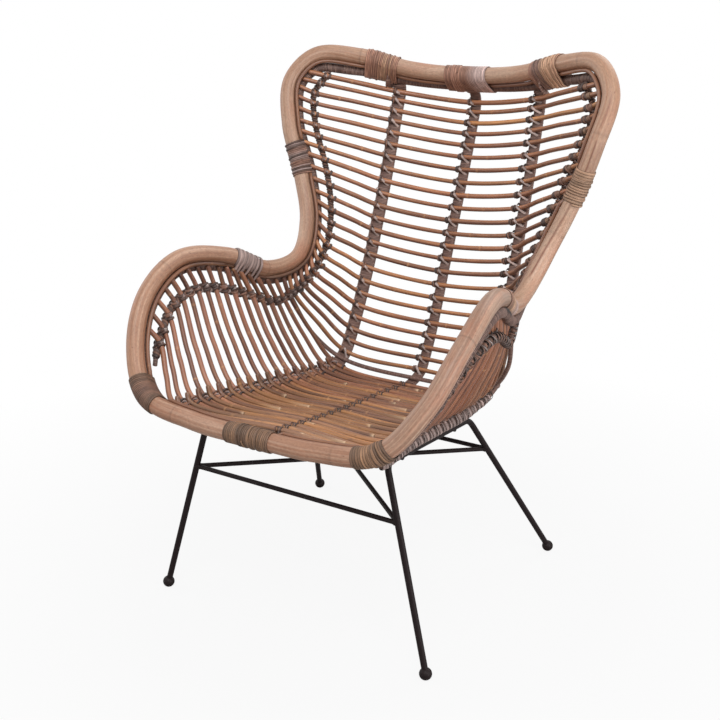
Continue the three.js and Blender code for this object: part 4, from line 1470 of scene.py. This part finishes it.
def ball_foot(piece, centre):
    """A ball with a flat underside, turned round its upright axis."""
    flat = math.asin(BALL_FLAT_RADIUS / BALL_RADIUS)
    angle = np.linspace(flat, math.pi - 0.08, 18)
    height = np.concatenate([[-BALL_HEIGHT], -BALL_RADIUS * np.cos(angle)])
    radius = np.concatenate([[BALL_FLAT_RADIUS * 0.8], BALL_RADIUS * np.sin(angle)])
    at = centre + np.array([[0, 0, 1.0]]) * height[:, None]
    ways = np.tile([1.0, 0, 0], (len(at), 1)), np.tile([0, 1.0, 0], (len(at), 1))
    piece.sweep(at, *ways, ring_outline(1.0, 28), METAL_BLACK, 0.0, radius)


def base_frame():
    """Two side frames, each a bent rod on two ball feet, and the rods welded between them."""
    piece = Piece("welded_rod_base")
    shift = np.array([0, FRONT_LINE, 0])
    front_foot = np.array([TRACK / 2, 0, BALL_HEIGHT]) + shift
    rear_foot = np.array([TRACK / 2, WHEELBASE, BALL_HEIGHT]) + shift
    front_top, rear_bend = np.array(FRONT_TOP) + shift, np.array(REAR_BEND) + shift

    def brace(start, end):
        (points,) = evenly(np.array([start, end]), (), 0.002)
        lengths = lengths_along(points)
        from_weld = np.minimum(lengths, lengths[-1] - lengths) - LEG_RADIUS
        bead = 0.35 * np.exp(-np.maximum(from_weld, 0) / 0.0018)
        ways = turned_least(points, (0, 0, 1))
        piece.sweep(points, *ways, ring_outline(BRACE_RADIUS, 16), METAL_BLACK, 0.0, 1 + bead)

    def at_height(foot, top):
        return foot + (top - foot) * (BRACE_HEIGHT - foot[2]) / (top[2] - foot[2])

    front_joint, rear_joint = at_height(front_foot, front_top), at_height(rear_foot, rear_bend)
    for turn in (lambda p: p, mirror):
        path = bent_path([turn(p) for p in (front_foot, front_top, rear_bend, rear_foot)])
        (points,) = evenly(path, (), 0.004)
        ways = turned_least(points, (1, 0, 0))
        piece.sweep(points, *ways, ring_outline(LEG_RADIUS, 20), METAL_BLACK)
        ball_foot(piece, turn(front_foot))
        ball_foot(piece, turn(rear_foot))
        brace(turn(front_joint), mirror(turn(rear_joint)))
    brace(front_joint, mirror(front_joint))
    brace(rear_joint, mirror(rear_joint))
    for share in CROSS_ROD_PLACES:
        place = front_top + (rear_bend - front_top) * share - np.array([0, 0, CROSS_ROD_DROP])
        brace(place, mirror(place))
    return piece.finish(metal_material, "metal", "base_frame")


base_frame()


# ---- floor, light and camera


def floor():
    """A pale floor that keeps the chair's shadow near it and fades to white far from it."""
    f = Finish(bpy.data.materials.new("pale_floor"))
    place = f.node("ShaderNodeNewGeometry").out("Position")
    reach = f.node("ShaderNodeVectorMath", {"operation": "LENGTH"}, {0: place}).out("Value")
    shadow_reach, fade = 0.5, 0.9
    far = ((reach - shadow_reach) / fade).clamp()
    seen = f.node("ShaderNodeLightPath").out("Is Camera Ray")
    lit = f.node("ShaderNodeBsdfDiffuse", {}, {"Color": (0.5, 0.5, 0.5, 1)}).out("BSDF")
    values = {"Color": (1, 1, 1, 1), "Strength": 1.0}
    white = f.node("ShaderNodeEmission", {}, values).out("Emission")
    shader = f.blended(seen * (0.9 + 0.1 * far), lit, white)
    half = 6.0
    mesh = bpy.data.meshes.new("floor")
    corners = [(-half, -half, 0), (half, -half, 0), (half, half, 0), (-half, half, 0)]
    mesh.from_pydata(corners, [], [(0, 1, 2, 3)])
    mesh.materials.append(f.ended(shader, "ShaderNodeOutputMaterial"))
    made = bpy.data.objects.new("floor", mesh)
    bpy.context.scene.collection.objects.link(made)


def world():
    """White for the camera and in reflections, and a softer light on everything else."""
    bpy.context.scene.world = bpy.data.worlds.new("studio")
    f = Finish(bpy.context.scene.world)
    path = f.node("ShaderNodeLightPath")
    rays = {0: path.out("Is Camera Ray"), 1: path.out("Is Glossy Ray")}
    seen = f.node("ShaderNodeMath", {"operation": "MAXIMUM"}, rays).out("Value")
    soft, white = (
        f.node("ShaderNodeBackground", {}, {"Color": (1, 1, 1, 1), "Strength": strength})
        for strength in (0.42, 1.0)
    )
    shader = f.blended(seen, soft.out("Background"), white.out("Background"))
    f.ended(shader, "ShaderNodeOutputWorld")


def aim(made, target):
    """Turns a lamp or the camera to face a place."""
    direction = target - np.array(made.location)
    made.rotation_euler = Vector(direction).to_track_quat("-Z", "Y").to_euler()


def lamp(name, place, size, power):
    """A square lamp that faces the middle of the chair."""
    data = bpy.data.lights.new(name, "AREA")
    data.size = size
    data.energy = power
    made = bpy.data.objects.new(name, data)
    made.location = place
    bpy.context.scene.collection.objects.link(made)
    aim(made, np.array([0, 0, 0.5]))


def camera():
    """The view of the photograph."""
    azimuth, elevation, distance = math.radians(32.056), math.radians(18.722), 2.0192
    target = np.array([0.0489, FRONT_LINE + 0.1821, 0.5])
    back = np.array(
        [
            math.sin(azimuth) * math.cos(elevation),
            -math.cos(azimuth) * math.cos(elevation),
            math.sin(elevation),
        ]
    )
    data = bpy.data.cameras.new("photo_view")
    data.sensor_width = 36.0
    data.lens = 53.715
    made = bpy.data.objects.new("photo_view", data)
    made.location = target + back * distance
    bpy.context.scene.collection.objects.link(made)
    aim(made, target)
    bpy.context.scene.camera = made


floor()
world()
lamp("key", (1.2, -2.1, 3.1), 1.9, 76)
lamp("fill", (-2.9, -0.6, 1.7), 2.2, 28)
lamp("side", (3.0, -0.4, 0.6), 1.6, 44)
lamp("back_light", (0.4, 2.2, 3.0), 2.0, 34)
camera()
bpy.context.scene.view_settings.view_transform = "Standard"
